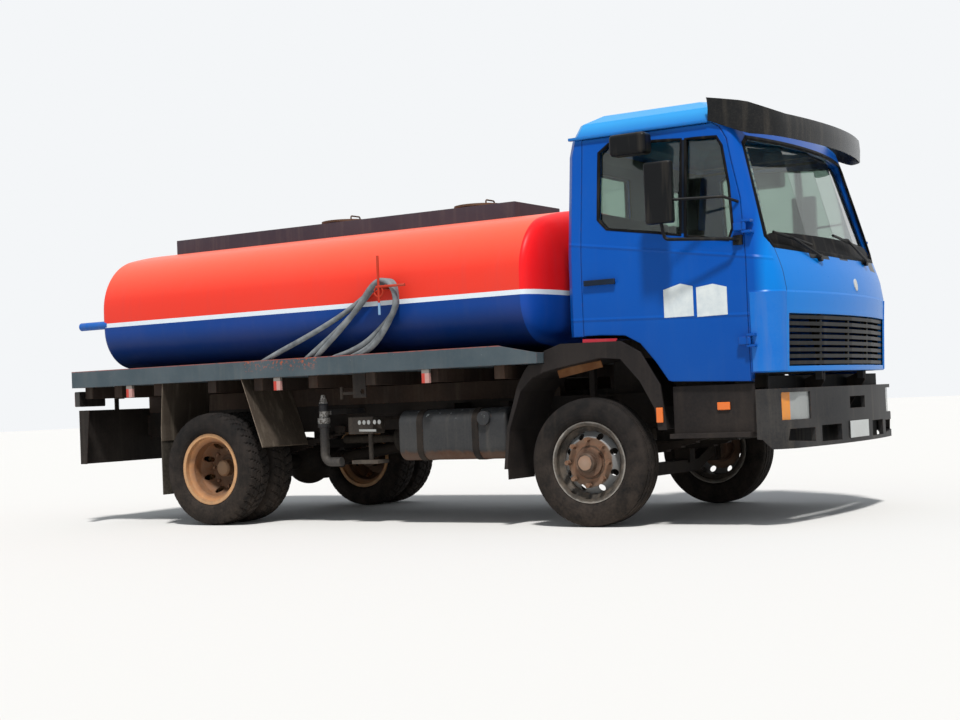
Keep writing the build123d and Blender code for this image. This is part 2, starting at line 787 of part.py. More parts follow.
def plan_ring(points, inset):
    """The closed plan of a wrap-round piece; an inset one runs on past its open back."""
    outer = [(x - inset, y - inset * min(1.0, y / 600.0)) for x, y in points]
    rear = points[-1][0] - 1 - (inset and 200)
    right = [(x, -y) for x, y in reversed(outer)]
    left = [(x, y) for x, y in outer[1:]]
    return [(rear, right[0][1])] + right + left + [(rear, left[-1][1])]


def plan_prism(points, z0, z1):
    face = make_face(Polyline(*points, close=True))
    return extrude(Pos(0, 0, z0) * face, amount=z1 - z0)


def bumper():
    """The wrap-round steel bumper with its lamp openings, slots and brackets."""
    outer = plan_prism(plan_ring(bumper_plan, 0), bumper_low, bumper_high)
    inner = plan_prism(plan_ring(bumper_plan, bumper_wall), bumper_low - 1, bumper_high + 1)
    shell = outer - inner
    for s in (-1, 1):
        shell -= block(1200, 1500, s * lamp_inner_y, s * lamp_outer_y, lamp_low, lamp_high)
        shell -= block(1300, 1500, s * 320, s * 580, 535, 635)
        shell -= block(1300, 1500, s * 745, s * 960, 535, 590)
        shell -= side_prism([(1160, 400), (1160, 545), (1205, 540), (1260, 479), (1260, 400)],
                            *sorted((s * 1000, s * 1200)))
    shell -= block(1350, 1500, -85, 85, 700, 780)
    for s in (-1, 1):
        shell += block(rail_front, 1405, s * 345, s * 390, 690, 800)
    return shell


def headlamps():
    """Lamp units seated in the bumper's openings."""
    g = seat_gap
    body = plan_prism(plan_ring(bumper_plan, 8), lamp_low + g, lamp_high - g)
    body -= plan_prism(plan_ring(bumper_plan, 90), lamp_low - 1, lamp_high + 1)
    unit = body & block(1150, 1500, -lamp_outer_y + g, -lamp_inner_y - g, lamp_low, lamp_high)
    return pair(unit)


def number_plate():
    return block(front_overhang - 5, front_overhang, -180, 180, 510, 620) + block(1410, 1446, -30, 30, 540, 600)


def step_boxes():
    """The step and the black panel over it, below each door."""
    panel = block(600, 1150, -1050, -1030, 585, 888)
    tread = block(585, 1125, -1092, -800, 560, 590)
    back = block(620, 1100, -820, -800, 590, 860)
    arms = block(700, 760, -801, -rail_outer_y, 700, 760) + block(980, 1040, -801, -rail_outer_y, 700, 760)
    return pair(panel + tread + back + arms)


# Front mudguard: outer and inner contours in the side view, rear to front
guard_outer = ((-625.0, 385.0), (-592.0, 655.0), (-500.0, 935.0), (-440.0, 1035.0), (-405.0, 1072.0),
               (-288.0, 1074.0), (-284.0, 1160.0), (-161.0, 1199.0), (277.0, 1194.0), (415.0, 1117.0),
               (545.0, 902.0), (580.0, 618.0))
guard_inner = ((-600.0, 385.0), (-570.0, 650.0), (-475.0, 900.0), (-380.0, 985.0), (-290.0, 1020.0),
               (-169.0, 1045.0), (128.0, 1093.0), (272.0, 1079.0), (405.0, 930.0), (498.0, 760.0), (520.0, 618.0))
guard_outer_y = 1120.0
guard_inner_y = 640.0


def front_mudguards():
    """An arched guard with a broad outer face over each front wheel, and its flap."""
    face = side_prism(list(guard_outer) + list(reversed(guard_inner)), -guard_outer_y, -guard_outer_y + 16)
    t = 5.0
    spread = [(x - t * 0.8 if x < 0 else x + t * 0.8, z + t) for x, z in guard_inner]
    sheet = side_prism(list(guard_inner) + list(reversed(spread)), -guard_outer_y + 15, -guard_inner_y)
    stay = block(-190, -150, -guard_inner_y - 1, -rail_outer_y, 800, 840)
    stay += block(-190, -150, -guard_inner_y - 40, -guard_inner_y, 800, 1052)
    flap = block(-608, -600, -guard_outer_y + 20, -guard_inner_y - 120, 315, 430)
    return pair(face + sheet + stay + flap)


# Cab sections: height, half width, end of the flat side, front corner, front centre, rear
cab_rows = (
    (880.0, 1080.0, 1195.0, 1320.0, 1415.0, cab_rear),
    (1300.0, 1090.0, 1200.0, 1335.0, 1435.0, cab_rear),
    (1450.0, 1090.0, 1200.0, 1345.0, 1445.0, cab_rear),
    (1720.0, 1085.0, 1165.0, 1275.0, 1385.0, cab_rear),
    (1810.0, 1080.0, 1150.0, 1250.0, 1360.0, cab_rear),
    (2430.0, 1010.0, 1020.0, 1080.0, 1195.0, cab_rear),
    (2530.0, 1000.0, 985.0, 1045.0, 1150.0, cab_rear + 20),
    (2640.0, 950.0, 900.0, 960.0, 1060.0, cab_rear + 60),
    (2700.0, 840.0, 780.0, 850.0, 940.0, cab_rear + 160),
    (2718.0, 620.0, 560.0, 640.0, 720.0, cab_rear + 380),
)
corner_depth = 135.0
rear_chamfer = 40.0


def cab_section(row, inset):
    """The plan of the cab at one height, drawn counter-clockwise from its right rear corner."""
    z, half, side_end, corner, front, rear = row
    half -= inset
    side_end -= inset * 0.6
    corner -= inset
    front -= inset
    rear += inset
    edge = half - corner_depth
    bow = corner + (front - corner) * 0.75
    right = [(rear, -half + rear_chamfer), (rear + rear_chamfer, -half), (side_end, -half),
             (side_end + (corner - side_end) * 0.62, -half + 45), (corner, -edge), (bow, -edge / 2)]
    left = [(x, -y) for x, y in reversed(right)]
    return Pos(0, 0, z) * make_face(Polyline(*right, (front, 0), *left, close=True))


solids = {}


def cab_solid(inset):
    """The cab's outer form, shrunk by inset on its sides and its top."""
    if inset not in solids:
        rows = [row for row in cab_rows]
        if inset:
            top = [(row[0] - inset, *row[1:]) for row in rows if row[0] > 2600]
            rows = [row for row in rows if row[0] < 2600 - inset] + top
        solids[inset] = loft([cab_section(row, inset) for row in rows], ruled=True)
    return solids[inset]


def skin_x(y, z):
    """Where the cab's front skin stands at a given side distance and height."""
    below = [row for row in cab_rows if row[0] <= z][-1]
    above = [row for row in cab_rows if row[0] >= z][0]
    share = 0.0 if above is below else (z - below[0]) / (above[0] - below[0])
    half, corner, front = [below[i] + (above[i] - below[i]) * share for i in (1, 3, 4)]
    edge = half - corner_depth
    bow = corner + (front - corner) * 0.75
    if abs(y) < edge / 2:
        return front + (bow - front) * abs(y) / (edge / 2)
    return bow + (corner - bow) * (abs(y) - edge / 2) / (edge / 2)


# Outline of a door in the side view: its bottom with the wheel arch, front gap, top and rear gap
arch_edge = ((120.0, 1236.0), (299.0, 1225.0), (403.0, 1169.0), (503.0, 1049.0), (587.0, 925.0), (612.0, 917.0))
door_front = ((1144.0, 897.0), (1146.0, 1632.0), (1139.0, 1798.0), (1112.0, 2037.0), (1055.0, 2270.0),
              (1022.0, 2420.0), (975.0, 2500.0), (925.0, roof_split))
door_rear_x = 0.0
window_rear = ((125.0, 1990.0), (189.0, 1923.0), (542.0, 1868.0), (712.0, 1836.0), (712.0, 2450.0),
               (198.0, 2482.0), (125.0, 2430.0))
window_front = ((742.0, 1828.0), (1034.0, 1777.0), (1063.0, 1852.0), (1037.0, 2121.0), (989.0, 2376.0),
                (952.0, 2438.0), (742.0, 2448.0))
windscreen_edge = ((-1000.0, 1790.0), (-955.0, 1735.0), (-500.0, 1715.0), (0.0, 1705.0), (500.0, 1715.0),
                   (955.0, 1735.0), (1000.0, 1790.0), (925.0, 2385.0), (870.0, 2428.0), (-870.0, 2428.0),
                   (-925.0, 2385.0))
rear_window_edge = ((180.0, 1950.0), (720.0, 1950.0), (720.0, 2350.0), (180.0, 2350.0))
glass_depth = 22.0
glass_thickness = 6.0
cab_front_bottom = 950.0
grille_low = 985.0
grille_high = 1310.0
grille_half_width = 920.0
slats = 8
slat_height = 24.0


def door_region(inset):
    """The side-view face of a door, shrunk by inset."""
    outline = [(door_rear_x, arch_edge[0][1])] + list(arch_edge) + list(door_front) + [(door_rear_x, roof_split)]
    face = make_face(Polyline(*outline, close=True))
    return offset(face, amount=-inset) if inset else face


def side_cut(face, y0, y1):
    return extrude(Plane(origin=(0, y1, 0), x_dir=(1, 0, 0), z_dir=(0, -1, 0)) * face, amount=y1 - y0)


def side_opening(points, y0=-1300.0, y1=-800.0):
    return side_prism(list(points), y0, y1)


def cab_shell():
    """The cab's hollow body with its wheel arches and window openings cut."""
    shell = cab_solid(0.0) - cab_solid(skin)
    under = [(-400, 700), (-400, 1237)] + list(arch_edge) + [(1144, 897), (1150, cab_front_bottom),
                                                            (1700, cab_front_bottom), (1700, 700)]
    shell -= side_prism(under, -1300, 1300)
    shell -= front_prism(list(windscreen_edge), 900, 1600)
    shell -= block(1150, 1600, -grille_half_width, grille_half_width, grille_low, grille_high)
    for s in (-1, 1):
        shell -= front_prism([(s * y, z) for y, z in rear_window_edge], -300, 200)
    return shell


def door(shell):
    """A right-hand door cut from the shell, with its two windows and its hinge barrels."""
    leaf = shell & side_cut(door_region(shut_gap / 2), -1300, -800)
    leaf -= side_opening(window_rear) + side_opening(window_front)
    x, y = door_axis
    for z in hinge_heights:
        arm = block(1085, x, -y - 6, -1060, z - 24, z + 24) - block(1120, x + 1, -y + 14, -1000, z - 30, z + 30)
        barrel = cylinder_z(x, -y, z - 24, z + 24, 13)
        leaf += arm - cab_solid(skin / 2) + barrel
        leaf -= cylinder_z(x, -y, z - 30, z + 30, door_pin_radius + running_gap)
    handle = block(27, 252, -1112, -1104, 1562, 1598)
    handle += block(30, 60, -1105, -1060, 1568, 1592) + block(220, 250, -1105, -1060, 1568, 1592)
    leaf += handle - cab_solid(skin / 2)
    return leaf


hinge_heights = (1150.0, 1850.0)


def door_pins():
    """Pins and lugs on the front pillar that the right door hangs on."""
    x, y = door_axis
    lugs = None
    for z in hinge_heights:
        for low, high in ((z - 42, z - 25), (z + 25, z + 42)):
            lug = block(x - 13, x + 44, -y - 10, -1060, low, high) - block(x - 20, x + 1, -y + 14, -900, low, high)
            lugs = lug if lugs is None else lugs + lug
        lugs += cylinder_z(x, -y, z - 42, z + 42, door_pin_radius)
    return lugs


def cab_front(shell):
    """The front of the cab below the roof, with the door pins on its pillars."""
    front = shell & block(900, 1700, -1200, 1200, 800, roof_split)
    front -= side_cut(door_region(0), -1300, 1300)
    pins = door_pins() - cab_solid(skin / 2)
    return front + pins + on_left(pins)


def cab_rear_wall(shell):
    return (shell & block(-300, 300, -1200, 1200, 800, roof_split)) - side_cut(door_region(0), -1300, 1300)


def cab_roof(shell):
    """The roof above the gutters."""
    roof = shell & block(-300, 1400, -1200, 1200, roof_split, 2900)
    gutter = block(-90, 900, -1022, -995, roof_split, roof_split + 18) - cab_solid(0.0)
    gutter += block(-90, 900, -1005, -990, roof_split, roof_split + 18) - cab_solid(skin / 2)
    return roof + gutter + on_left(gutter)


def glass_shell():
    return cab_solid(glass_depth) - cab_solid(glass_depth + glass_thickness)


def cab_floor():
    """The stepped floor with its tunnel over the engine and the tilt pins below."""
    t = floor_thickness
    band = side_prism([(-160, 1260), (330, 1260), (620, 950), (1450, 950), (1450, 950 + t), (640, 950 + t),
                       (350, 1260 + t), (-160, 1260 + t)], -1100, 1100)
    tunnel = block(330, 770, -350, 350, 950, 1330)
    floor = band + tunnel - block(290, 740, -320, 320, 800, 1300)
    floor = floor & cab_solid(skin + seat_gap)
    x, z = tilt_axis
    for s in (-1, 1):
        for inner, outer in ((375, 394), (416, 435)):
            floor += block(x - 22, x + 22, s * inner, s * outer, z - 18, 950)
        floor += cylinder_y(x, s * 375, s * 435, z, hinge_radius)
    return floor


def seats():
    """A driver's seat and a double seat beside it, standing on the floor."""
    top = 1260 + floor_thickness
    rows = ((330.0, 830.0), (-830.0, 200.0))
    made = []
    for y0, y1 in rows:
        base = fillet(block(-20, 440, y0, y1, top + 60, top + 190).edges(), 30)
        back = fillet(side_prism([(-30, top + 150), (90, top + 150), (40, top + 760), (-50, top + 760)], y0, y1)
                      .edges().filter_by(Axis.Y), 25)
        plinth = block(20, 320, y0 + 60, y1 - 60, top, top + 80)
        made.append(base + back + plinth)
    return together(made)


def dashboard():
    body = side_prism([(1010, 1500), (1040, 1690), (1120, 1740), (1420, 1680), (1420, 1420), (1100, 1420)], -1100, 1100)
    return body & cab_solid(skin + seat_gap)


def steering_wheel():
    """A rim, its spokes and the column down to the floor, on the left."""
    plane = Plane(origin=(800, 550, 1790), z_dir=(-0.42, 0, 0.91))
    rim = plane * Torus(215, 14)
    spokes = plane * Box(30, 420, 14) + plane * Box(420, 30, 14)
    column = tube_path([(800, 550, 1790), (930, 550, 1508), (1005, 550, 1000)], 120, 24)
    foot = cylinder_z(1005, 550, 950 + floor_thickness, 1012, 40)
    return rim + spokes + column + foot


def grille():
    """Slats that follow the front's bow, tied by uprights behind them."""
    pitch = (grille_high - grille_low) / slats
    bars = []
    for i in range(slats):
        z = grille_low + (i + 0.5) * pitch
        bars.append(block(1150, 1600, -grille_half_width, grille_half_width, z - slat_height / 2, z + slat_height / 2))
    slat_ring = cab_solid(6.0) - cab_solid(34.0)
    backs = cab_solid(30.0) - cab_solid(48.0)
    ties = [block(1150, 1600, y - 15, y + 15, grille_low, grille_high)
            for y in (-grille_half_width + 15, -460, 0, 460, grille_half_width - 15)]
    return (slat_ring & together(bars)) + (backs & together(ties))


def windscreen():
    return glass_shell() & front_prism(list(windscreen_edge), 900, 1600)


def rear_glass():
    panes = None
    for s in (-1, 1):
        pane = glass_shell() & front_prism([(s * y, z) for y, z in rear_window_edge], -300, 200)
        panes = pane if panes is None else panes + pane
    return panes


def door_glass():
    return glass_shell() & (side_opening(window_rear) + side_opening(window_front))


# Sun visor: its plan outside the windscreen's top and its edges in the side view
visor_plan = ((1385.0, 0.0), (1362.0, 380.0), (1300.0, 700.0), (1150.0, 990.0), (905.0, 1022.0))
visor_wall = 6.0


def visor():
    """A wrap-round visor on four brackets."""
    shell = plan_prism(plan_ring(visor_plan, 0), 2380, 2760)
    shell -= plan_prism(plan_ring(visor_plan, visor_wall), 2370, 2770)
    shell = shell & side_prism([(904, 2545), (1141, 2440), (1300, 2425), (1450, 2410), (1450, 2560), (1300, 2578),
                                (1152, 2640), (904, 2690)], -1300, 1300)
    for y in (-640, -220, 220, 640):
        shell += block(1000, skin_x(y, 2430) + 130, y - 12, y + 12, 2500, 2530) - cab_solid(0.0)
    for s in (-1, 1):
        shell += block(930, 960, s * 960, s * 1012, 2560, 2600) - cab_solid(0.0)
    return shell


def wipers():
    """Two arms with their blades resting before the windscreen."""
    arms = []
    for y0, y1 in ((-540, 60), (210, 800)):
        foot = (skin_x(y0, 1665) + 2, y0, 1665)
        tip_y = (y0 + y1) / 2 + 60
        tip = (skin_x(tip_y, 1760) + 26, tip_y, 1770)
        arm = tube_path([foot, (foot[0] + 24, y0 + 4, 1680), tip], 8, 6)
        blade_ends = [(skin_x(y, 1770) + 22, y, 1770) for y in (y1 - 480, y1)]
        middle = (max(skin_x(y1 - 240, 1770), 0) + 26, y1 - 240, 1772)
        blade = tube_path([blade_ends[0], middle, blade_ends[1]], 300, 7)
        arms.append(arm + blade)
    return together(arms)


def door_mirror():
    """The right door's mirror on its arm, and the kerb mirror over the window."""
    head = fillet(block(574, 760, -1300, -1240, 1898, 2284).edges(), 18)
    arm = tube_path([(1112, -1070, 1770), (1090, -1150, 1775), (690, -1262, 1800), (667, -1268, 1920)], 30, 11)
    brace = tube_path([(1100, -1060, 2010), (1040, -1150, 2040), (740, -1270, 2040)], 30, 9)
    base = block(1070, 1130, -1100, -1050, 1740, 1800)
    kerb = fillet(block(299, 554, -1215, -1095, 2363, 2500).edges(), 26)
    kerb_arm = block(410, 440, -1120, -980, 2490, 2512)
    return (head + arm + brace + base + kerb + kerb_arm) - cab_solid(0.0)


def hose_couplings():
    """The outlet on the deck where the hose begins and the coupling at its free end."""
    x0 = hose_start_x + 60
    y0 = inner_strands[0]
    outlet = cylinder_x(x0 - 90, x0, y0, hose_floor, hose_radius) + cylinder_x(x0 - 60, x0 - 20, y0, hose_floor, hose_radius)
    foot = block(x0 - 90, x0 - 30, y0 - 30, y0 + 30, deck_top, hose_floor - 8)
    end_y = outer_strands[2]
    end = cylinder_x(hose_end_x - 95, hose_end_x, end_y, hose_floor, hose_radius)
    return together([outlet + foot, end])


nodes = {}
barrel = tank_barrel()
for side, outward in (("right", -1), ("left", 1)):
    nodes.update(front_wheel(side, outward))
    nodes.update(twin_wheels(side, outward))
    nodes[f"knuckle_{side}"] = knuckle(outward)
nodes["front_axle"] = front_axle()
nodes["rear_axle"] = rear_axle()
nodes["leaf_springs"] = leaf_springs()
nodes["chassis_frame"] = chassis_frame()
nodes["engine"] = engine()
nodes["drive_shaft"] = drive_shaft()
nodes["fuel_tank"] = fuel_tank()
nodes["fuel_straps"] = fuel_straps()
nodes["deck"] = deck_floor() + deck_rim()
nodes["tank"] = barrel + tank_heads()
nodes["bearers"] = deck_bearers() + tank_skids(barrel)
nodes["spill_box"] = spill_box(barrel)
nodes["manhole_necks"] = manholes(barrel)
nodes["manhole_lid_front"] = lid(manhole_x[0])
nodes["manhole_lid_rear"] = lid(manhole_x[1])
nodes["hose_hook"] = hose_hook(barrel)
nodes["delivery_hose"] = delivery_hose()
nodes["hose_couplings"] = hose_couplings()
nodes["delivery_pipe"] = delivery_pipe()
nodes["meter_and_levers"] = together([meter(), valve_levers()])
nodes["battery_box"] = battery_box()
nodes["silencer"] = silencer()
nodes["rear_wings"] = rear_wings()
nodes["mud_flaps"] = mud_flaps()
nodes["tail_panel"] = tail_panel()
nodes["lamps"] = rear_lamps() + side_lamps()
nodes["bumper"] = bumper()
nodes["headlamps"] = headlamps()
nodes["number_plate"] = number_plate() - nodes["bumper"]
nodes["step_boxes"] = step_boxes()
nodes["front_mudguards"] = front_mudguards()
shell = cab_shell()
nodes["cab_front"] = cab_front(shell)
nodes["cab_rear_wall"] = cab_rear_wall(shell)
nodes["cab_roof"] = cab_roof(shell)
nodes["cab_floor"] = cab_floor()
nodes["seats"] = seats()
nodes["dashboard"] = dashboard()
nodes["steering_wheel"] = steering_wheel()
nodes["grille"] = grille()
nodes["cab_glass"] = windscreen() + rear_glass()
nodes["visor"] = visor()
nodes["wipers"] = wipers()
for side, placed in (("right", lambda shape: shape), ("left", on_left)):
    nodes[f"door_{side}"] = placed(door(shell))
    nodes[f"door_glass_{side}"] = placed(door_glass())
    nodes[f"door_mirror_{side}"] = placed(door_mirror())

shift_x = (wheelbase + rear_overhang - front_overhang) / 2
for name, shape in nodes.items():
    export_step(Pos(shift_x, 0, 0) * shape, f"parts/{name}.step")
    print(name)
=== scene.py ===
import math
from types import SimpleNamespace

import bmesh
import bpy
from mathutils import Matrix, Vector


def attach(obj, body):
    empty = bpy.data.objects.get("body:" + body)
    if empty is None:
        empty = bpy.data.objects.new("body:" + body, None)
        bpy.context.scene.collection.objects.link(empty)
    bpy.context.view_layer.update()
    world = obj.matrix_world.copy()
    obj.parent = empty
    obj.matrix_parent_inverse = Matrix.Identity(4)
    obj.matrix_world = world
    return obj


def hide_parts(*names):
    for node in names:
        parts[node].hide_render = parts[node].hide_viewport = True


# A weathered tanker truck. Metres, +X forward, +Y to the truck's left, +Z up.
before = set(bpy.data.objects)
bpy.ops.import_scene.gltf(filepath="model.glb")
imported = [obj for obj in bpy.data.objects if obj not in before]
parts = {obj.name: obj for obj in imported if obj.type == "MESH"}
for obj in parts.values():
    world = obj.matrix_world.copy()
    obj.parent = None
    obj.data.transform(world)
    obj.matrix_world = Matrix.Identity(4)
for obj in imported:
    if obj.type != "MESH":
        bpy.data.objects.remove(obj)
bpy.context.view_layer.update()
frontX = 1.5575      # x of the front axle
rearX = -1.5925      # x of the rear axle
axleZ = 0.42
sides = (("right", -1), ("left", 1))
print("frame loaded:", len(parts), "nodes")


def linear(hexColour, alpha=1.0):
    text = hexColour.lstrip("#")
    values = [int(text[i:i + 2], 16) / 255 for i in (0, 2, 4)]
    return tuple(v / 12.92 if v <= 0.04045 else ((v + 0.055) / 1.055) ** 2.4 for v in values) + (alpha,)


def fill(tree, node, sockets):
    for key, value in sockets.items():
        value = getattr(value, "socket", value)
        if isinstance(value, bpy.types.NodeSocket):
            tree.links.new(value, node.inputs[key])
        else:
            node.inputs[key].default_value = value


def addNode(tree, kind, sockets=None, **settings):
    node = tree.nodes.new(kind)
    for name, value in settings.items():
        setattr(node, name, value)
    fill(tree, node, sockets or {})
    return node


# A shader value that takes arithmetic, so that a colour rule reads as a formula
class Value:
    def __init__(self, tree, socket):
        self.tree = tree
        self.socket = socket

    def __add__(self, other):
        return maths("ADD", self, other)

    def __sub__(self, other):
        return maths("SUBTRACT", self, other)

    def __rsub__(self, other):
        return maths("SUBTRACT", other, self)

    def __mul__(self, other):
        return maths("MULTIPLY", self, other)

    def __rmul__(self, other):
        return maths("MULTIPLY", other, self)

    def __truediv__(self, other):
        return maths("DIVIDE", self, other)

    def __gt__(self, other):
        return maths("GREATER_THAN", self, other)

    def __lt__(self, other):
        return maths("LESS_THAN", self, other)

    def __abs__(self):
        return maths("ABSOLUTE", self)


def maths(operation, first, second=0.5, clamp=False):
    tree = (first if isinstance(first, Value) else second).tree
    node = addNode(tree, "ShaderNodeMath", {0: first, 1: second}, operation=operation, use_clamp=clamp)
    return Value(tree, node.outputs[0])


def mixed(share, first, second):  # each colour is a value or a hex string
    first, second = (linear(tone) if isinstance(tone, str) else tone for tone in (first, second))
    node = addNode(share.tree, "ShaderNodeMix", {0: share, 6: first, 7: second}, data_type="RGBA")
    return Value(share.tree, node.outputs[2])


def ramp(value, low, high):  # rising 0 to 1 between low and high
    node = addNode(value.tree, "ShaderNodeMapRange", {0: value, 1: low, 2: high}, clamp=True)
    return Value(value.tree, node.outputs[0])


def noise(place, sizeMm, detail=3.0, rough=0.55, stretch=(1, 1, 1)):
    spread = addNode(place.tree, "ShaderNodeMapping", {"Vector": place, "Scale": stretch}).outputs[0]
    node = addNode(place.tree, "ShaderNodeTexNoise", {"Vector": spread, "Scale": 1000.0 / sizeMm, "Detail": detail,
                                                      "Roughness": rough})
    return Value(place.tree, node.outputs[0])


def between(value, low, high):
    return (value > low) * (value < high)


def stretchX(at, rear, front):  # 1 between two distances from the front axle
    return between(at.x, frontX + rear, frontX + front)


def newMaterial(name):
    material = bpy.data.materials.new(name)
    material.use_nodes = True
    tree = material.node_tree
    place = Value(tree, addNode(tree, "ShaderNodeTexCoord").outputs["Object"])
    return material, tree, tree.nodes["Principled BSDF"], place


def dress(material, *names):
    for name in names:
        parts[name].data.materials.clear()
        parts[name].data.materials.append(material)


plainLook = dict(base="#808080", fade="#909090", fadeShare=0.25, patchMm=420,
                 dust="#8f8474", dustShare=0.35, dustTop=1.1, dustBase=0.05,
                 rust="#6b3a20", rustEdge=0.0, rustSpots=0.0, spotMm=30, streaks=0.1,
                 rough=0.45, dustRough=0.85, metal=0.0, coat=0.0, grainMm=4.0, grain=0.05,
                 edgeMm=5.0, dents=0.0, dentMm=260, gloss=0.16)


# A painted or bare surface with fading, dust that settles low, and rust at its edges and in spots
def weathered(name, changes, colour=None, relief=None):
    look = {**plainLook, **changes}
    material, tree, shader, place = newMaterial(name)
    axes = addNode(tree, "ShaderNodeSeparateXYZ", {0: place}).outputs
    at = SimpleNamespace(place=place, x=Value(tree, axes[0]), y=Value(tree, axes[1]), z=Value(tree, axes[2]))
    patches = noise(place, look["patchMm"], 4.0)
    base = mixed(ramp(patches, 0.4, 0.7) * look["fadeShare"], colour(at) if colour else look["base"], look["fade"])
    runs = noise(place, 60, 3.0, 0.6, (1.0, 1.0, 0.08))      # drawn out downwards
    base = mixed(ramp(runs, 0.52, 0.75) * look["streaks"], base, look["dust"])
    fine = noise(place, 18, 6.0, 0.7)
    dusty = ramp(at.z, look["dustTop"], 0.1) * look["dustShare"] + look["dustBase"]
    dusty = maths("MULTIPLY", dusty, ramp(patches + fine, 0.65, 1.25), True)
    base = mixed(dusty, base, look["dust"])
    rounded = addNode(tree, "ShaderNodeBevel", {"Radius": look["edgeMm"] / 1000}, samples=4).outputs[0]
    if look["rustEdge"]:
        sharp = addNode(tree, "ShaderNodeNewGeometry").outputs["Normal"]
        facing = addNode(tree, "ShaderNodeVectorMath", {0: rounded, 1: sharp}, operation="DOT_PRODUCT").outputs[1]
        worn = ramp(Value(tree, facing), 0.995, 0.9) * ramp(fine, 0.5, 0.62)
        base = mixed(maths("MULTIPLY", worn, look["rustEdge"], True), base, look["rust"])
    if look["rustSpots"]:
        spread = 0.12 * look["rustSpots"]
        spots = ramp(noise(place, look["spotMm"], 5.0, 0.7), 0.74 - spread, 0.78 - spread)
        base = mixed(spots, base, look["rust"])
    rough = addNode(tree, "ShaderNodeMix", {0: dusty + fine * 0.15, 2: look["rough"], 3: look["dustRough"]}).outputs[0]
    bumps = [(look["grain"], 0.001, noise(place, look["grainMm"], 2.0))]      # strength, distance, height
    if look["dents"]:
        bumps.append((look["dents"], 0.02, noise(place, look["dentMm"], 2.0)))
    if relief:
        bumps.append((1.0, 1.0, relief(at)))
    normal = rounded
    for strength, distance, height in bumps:
        normal = addNode(tree, "ShaderNodeBump", {"Strength": strength, "Distance": distance, "Height": height,
                                                  "Normal": normal}).outputs[0]
    fill(tree, shader, {"Base Color": base, "Roughness": rough, "Metallic": look["metal"], "Normal": normal,
                        "Coat Weight": look["coat"], "Specular IOR Level": look["gloss"]})
    return material


# Enamel sprayed on the tank: orange red over a white line over dark blue. The red lightens to the top as a painted
# highlight, the blue darkens to the belly as painted shade, and the front head takes lit copies of both, painted light
tankLook = dict(redPaintedHighlight="#f4684c", red="#e63c2c", headRedLightCopy="#ee1a1e", line="#dfe8ee", blue="#0a3c86",
                bluePaintedShade="#061f52", headBlueLightCopy="#0346a0", lineLow=1.545, lineHigh=1.578,
                frontSeam=frontX - 0.45, rearSeam=frontX - 4.25)


def tankBands(at):
    t = tankLook
    # the front head takes its own lit copies of the red and the blue: painted light
    head = at.x > t["frontSeam"]
    # the red lightens towards the top: painted highlight
    upper = mixed(head, mixed(ramp(at.z, 1.75, 2.1), t["red"], t["redPaintedHighlight"]), t["headRedLightCopy"])
    # the blue darkens towards the belly: painted shade
    lower = mixed(head, mixed(ramp(at.z, 1.5, 1.22), t["blue"], t["bluePaintedShade"]), t["headBlueLightCopy"])
    bands = mixed(at.z > t["lineHigh"], lower, upper)
    return mixed(between(at.z, t["lineLow"], t["lineHigh"]), bands, t["line"])


tankPaint = weathered("tankEnamel", dict(fade="#c08a80", fadeShare=0.02, patchMm=700, dust="#5a5c68", dustShare=0.1,
                                         dustTop=1.3, dustBase=0.02, streaks=0.05, rough=0.34, gloss=0.14,
                                         rustEdge=0.5, rustSpots=0.08, dents=0.10, grain=0.02), tankBands)
dress(tankPaint, "tank")

# Gloss two-pack paint on pressed cab steel; the strips between the windows and the cowl round the wiper spindles
# are black, and the inside is dark trim. The blue has lit and shaded copies: low is painted shade on the lower
# sides, front a painted lit copy on the front face, roof a painted highlight on the roof. Seam: y and half width.
# Creases: x, z, slope. Cowl: y, y, foot.
cabLook = dict(blue="#004ca4", low="#004698", front="#0276cc", roof="#3a9cdc", black="#101214", trim="#1d1a19",
               flapStep=1.447, seam=(0.9495, 0.0035), creases=((0.148, 1.81, -0.142), (0.022, 1.343, -0.0290)),
               cowl=((-0.56, -0.28, 1.668), (-0.10, 0.06, 1.676), (0.40, 0.56, 1.672), (0.62, 0.86, 1.64)))


def cabColour(at):
    c = cabLook
    side = abs(at.y)
    onFront = ramp(at.x, frontX + 1.19, frontX + 1.26)
    # painted shade low on the sides, and a painted lit copy of the blue on the front
    blue = mixed(onFront, mixed(ramp(at.z, 0.9, 1.6), c["low"], c["blue"]), c["front"])
    # painted highlight on the roof
    blue = mixed(ramp(at.z, 2.50, 2.62), blue, c["roof"])
    post = stretchX(at, 0.705, 0.749) * between(at.z, 1.845, 2.445) * (side > 0.9)
    handle = stretchX(at, 0.02, 0.26) * between(at.z, 1.555, 1.605) * (side > 1.097)
    black = post + handle
    for low, high, foot in c["cowl"]:
        black = black + between(at.y, low, high) * between(at.z, foot, 1.74) * onFront
    middle, half = c["seam"]
    seam = between(side, middle - half, middle + half) * between(at.z, c["flapStep"], 1.765)
    black = black + seam * onFront * 0.8
    inside = (side < 0.955) * stretchX(at, -0.07, 0.9) * (at.z < 2.5)
    return mixed(inside, mixed(maths("MINIMUM", black, 1.0), blue, c["black"]), c["trim"])


# Pressed creases along the doors, and the front flap's lower edge, which stands proud of the panel over it
def cabRelief(at):
    creases = [ramp(abs(at.z - startZ - (at.x - (frontX + startX)) * slope), 0.014, 0.0) * 0.004
               for startX, startZ, slope in cabLook["creases"]]
    flap = cabLook["flapStep"]
    step = ramp(at.z, flap + 0.006, flap - 0.006) * 0.006
    return sum(creases[1:], creases[0]) * (abs(at.y) > 1.0) + step * (at.x > frontX + 1.155)


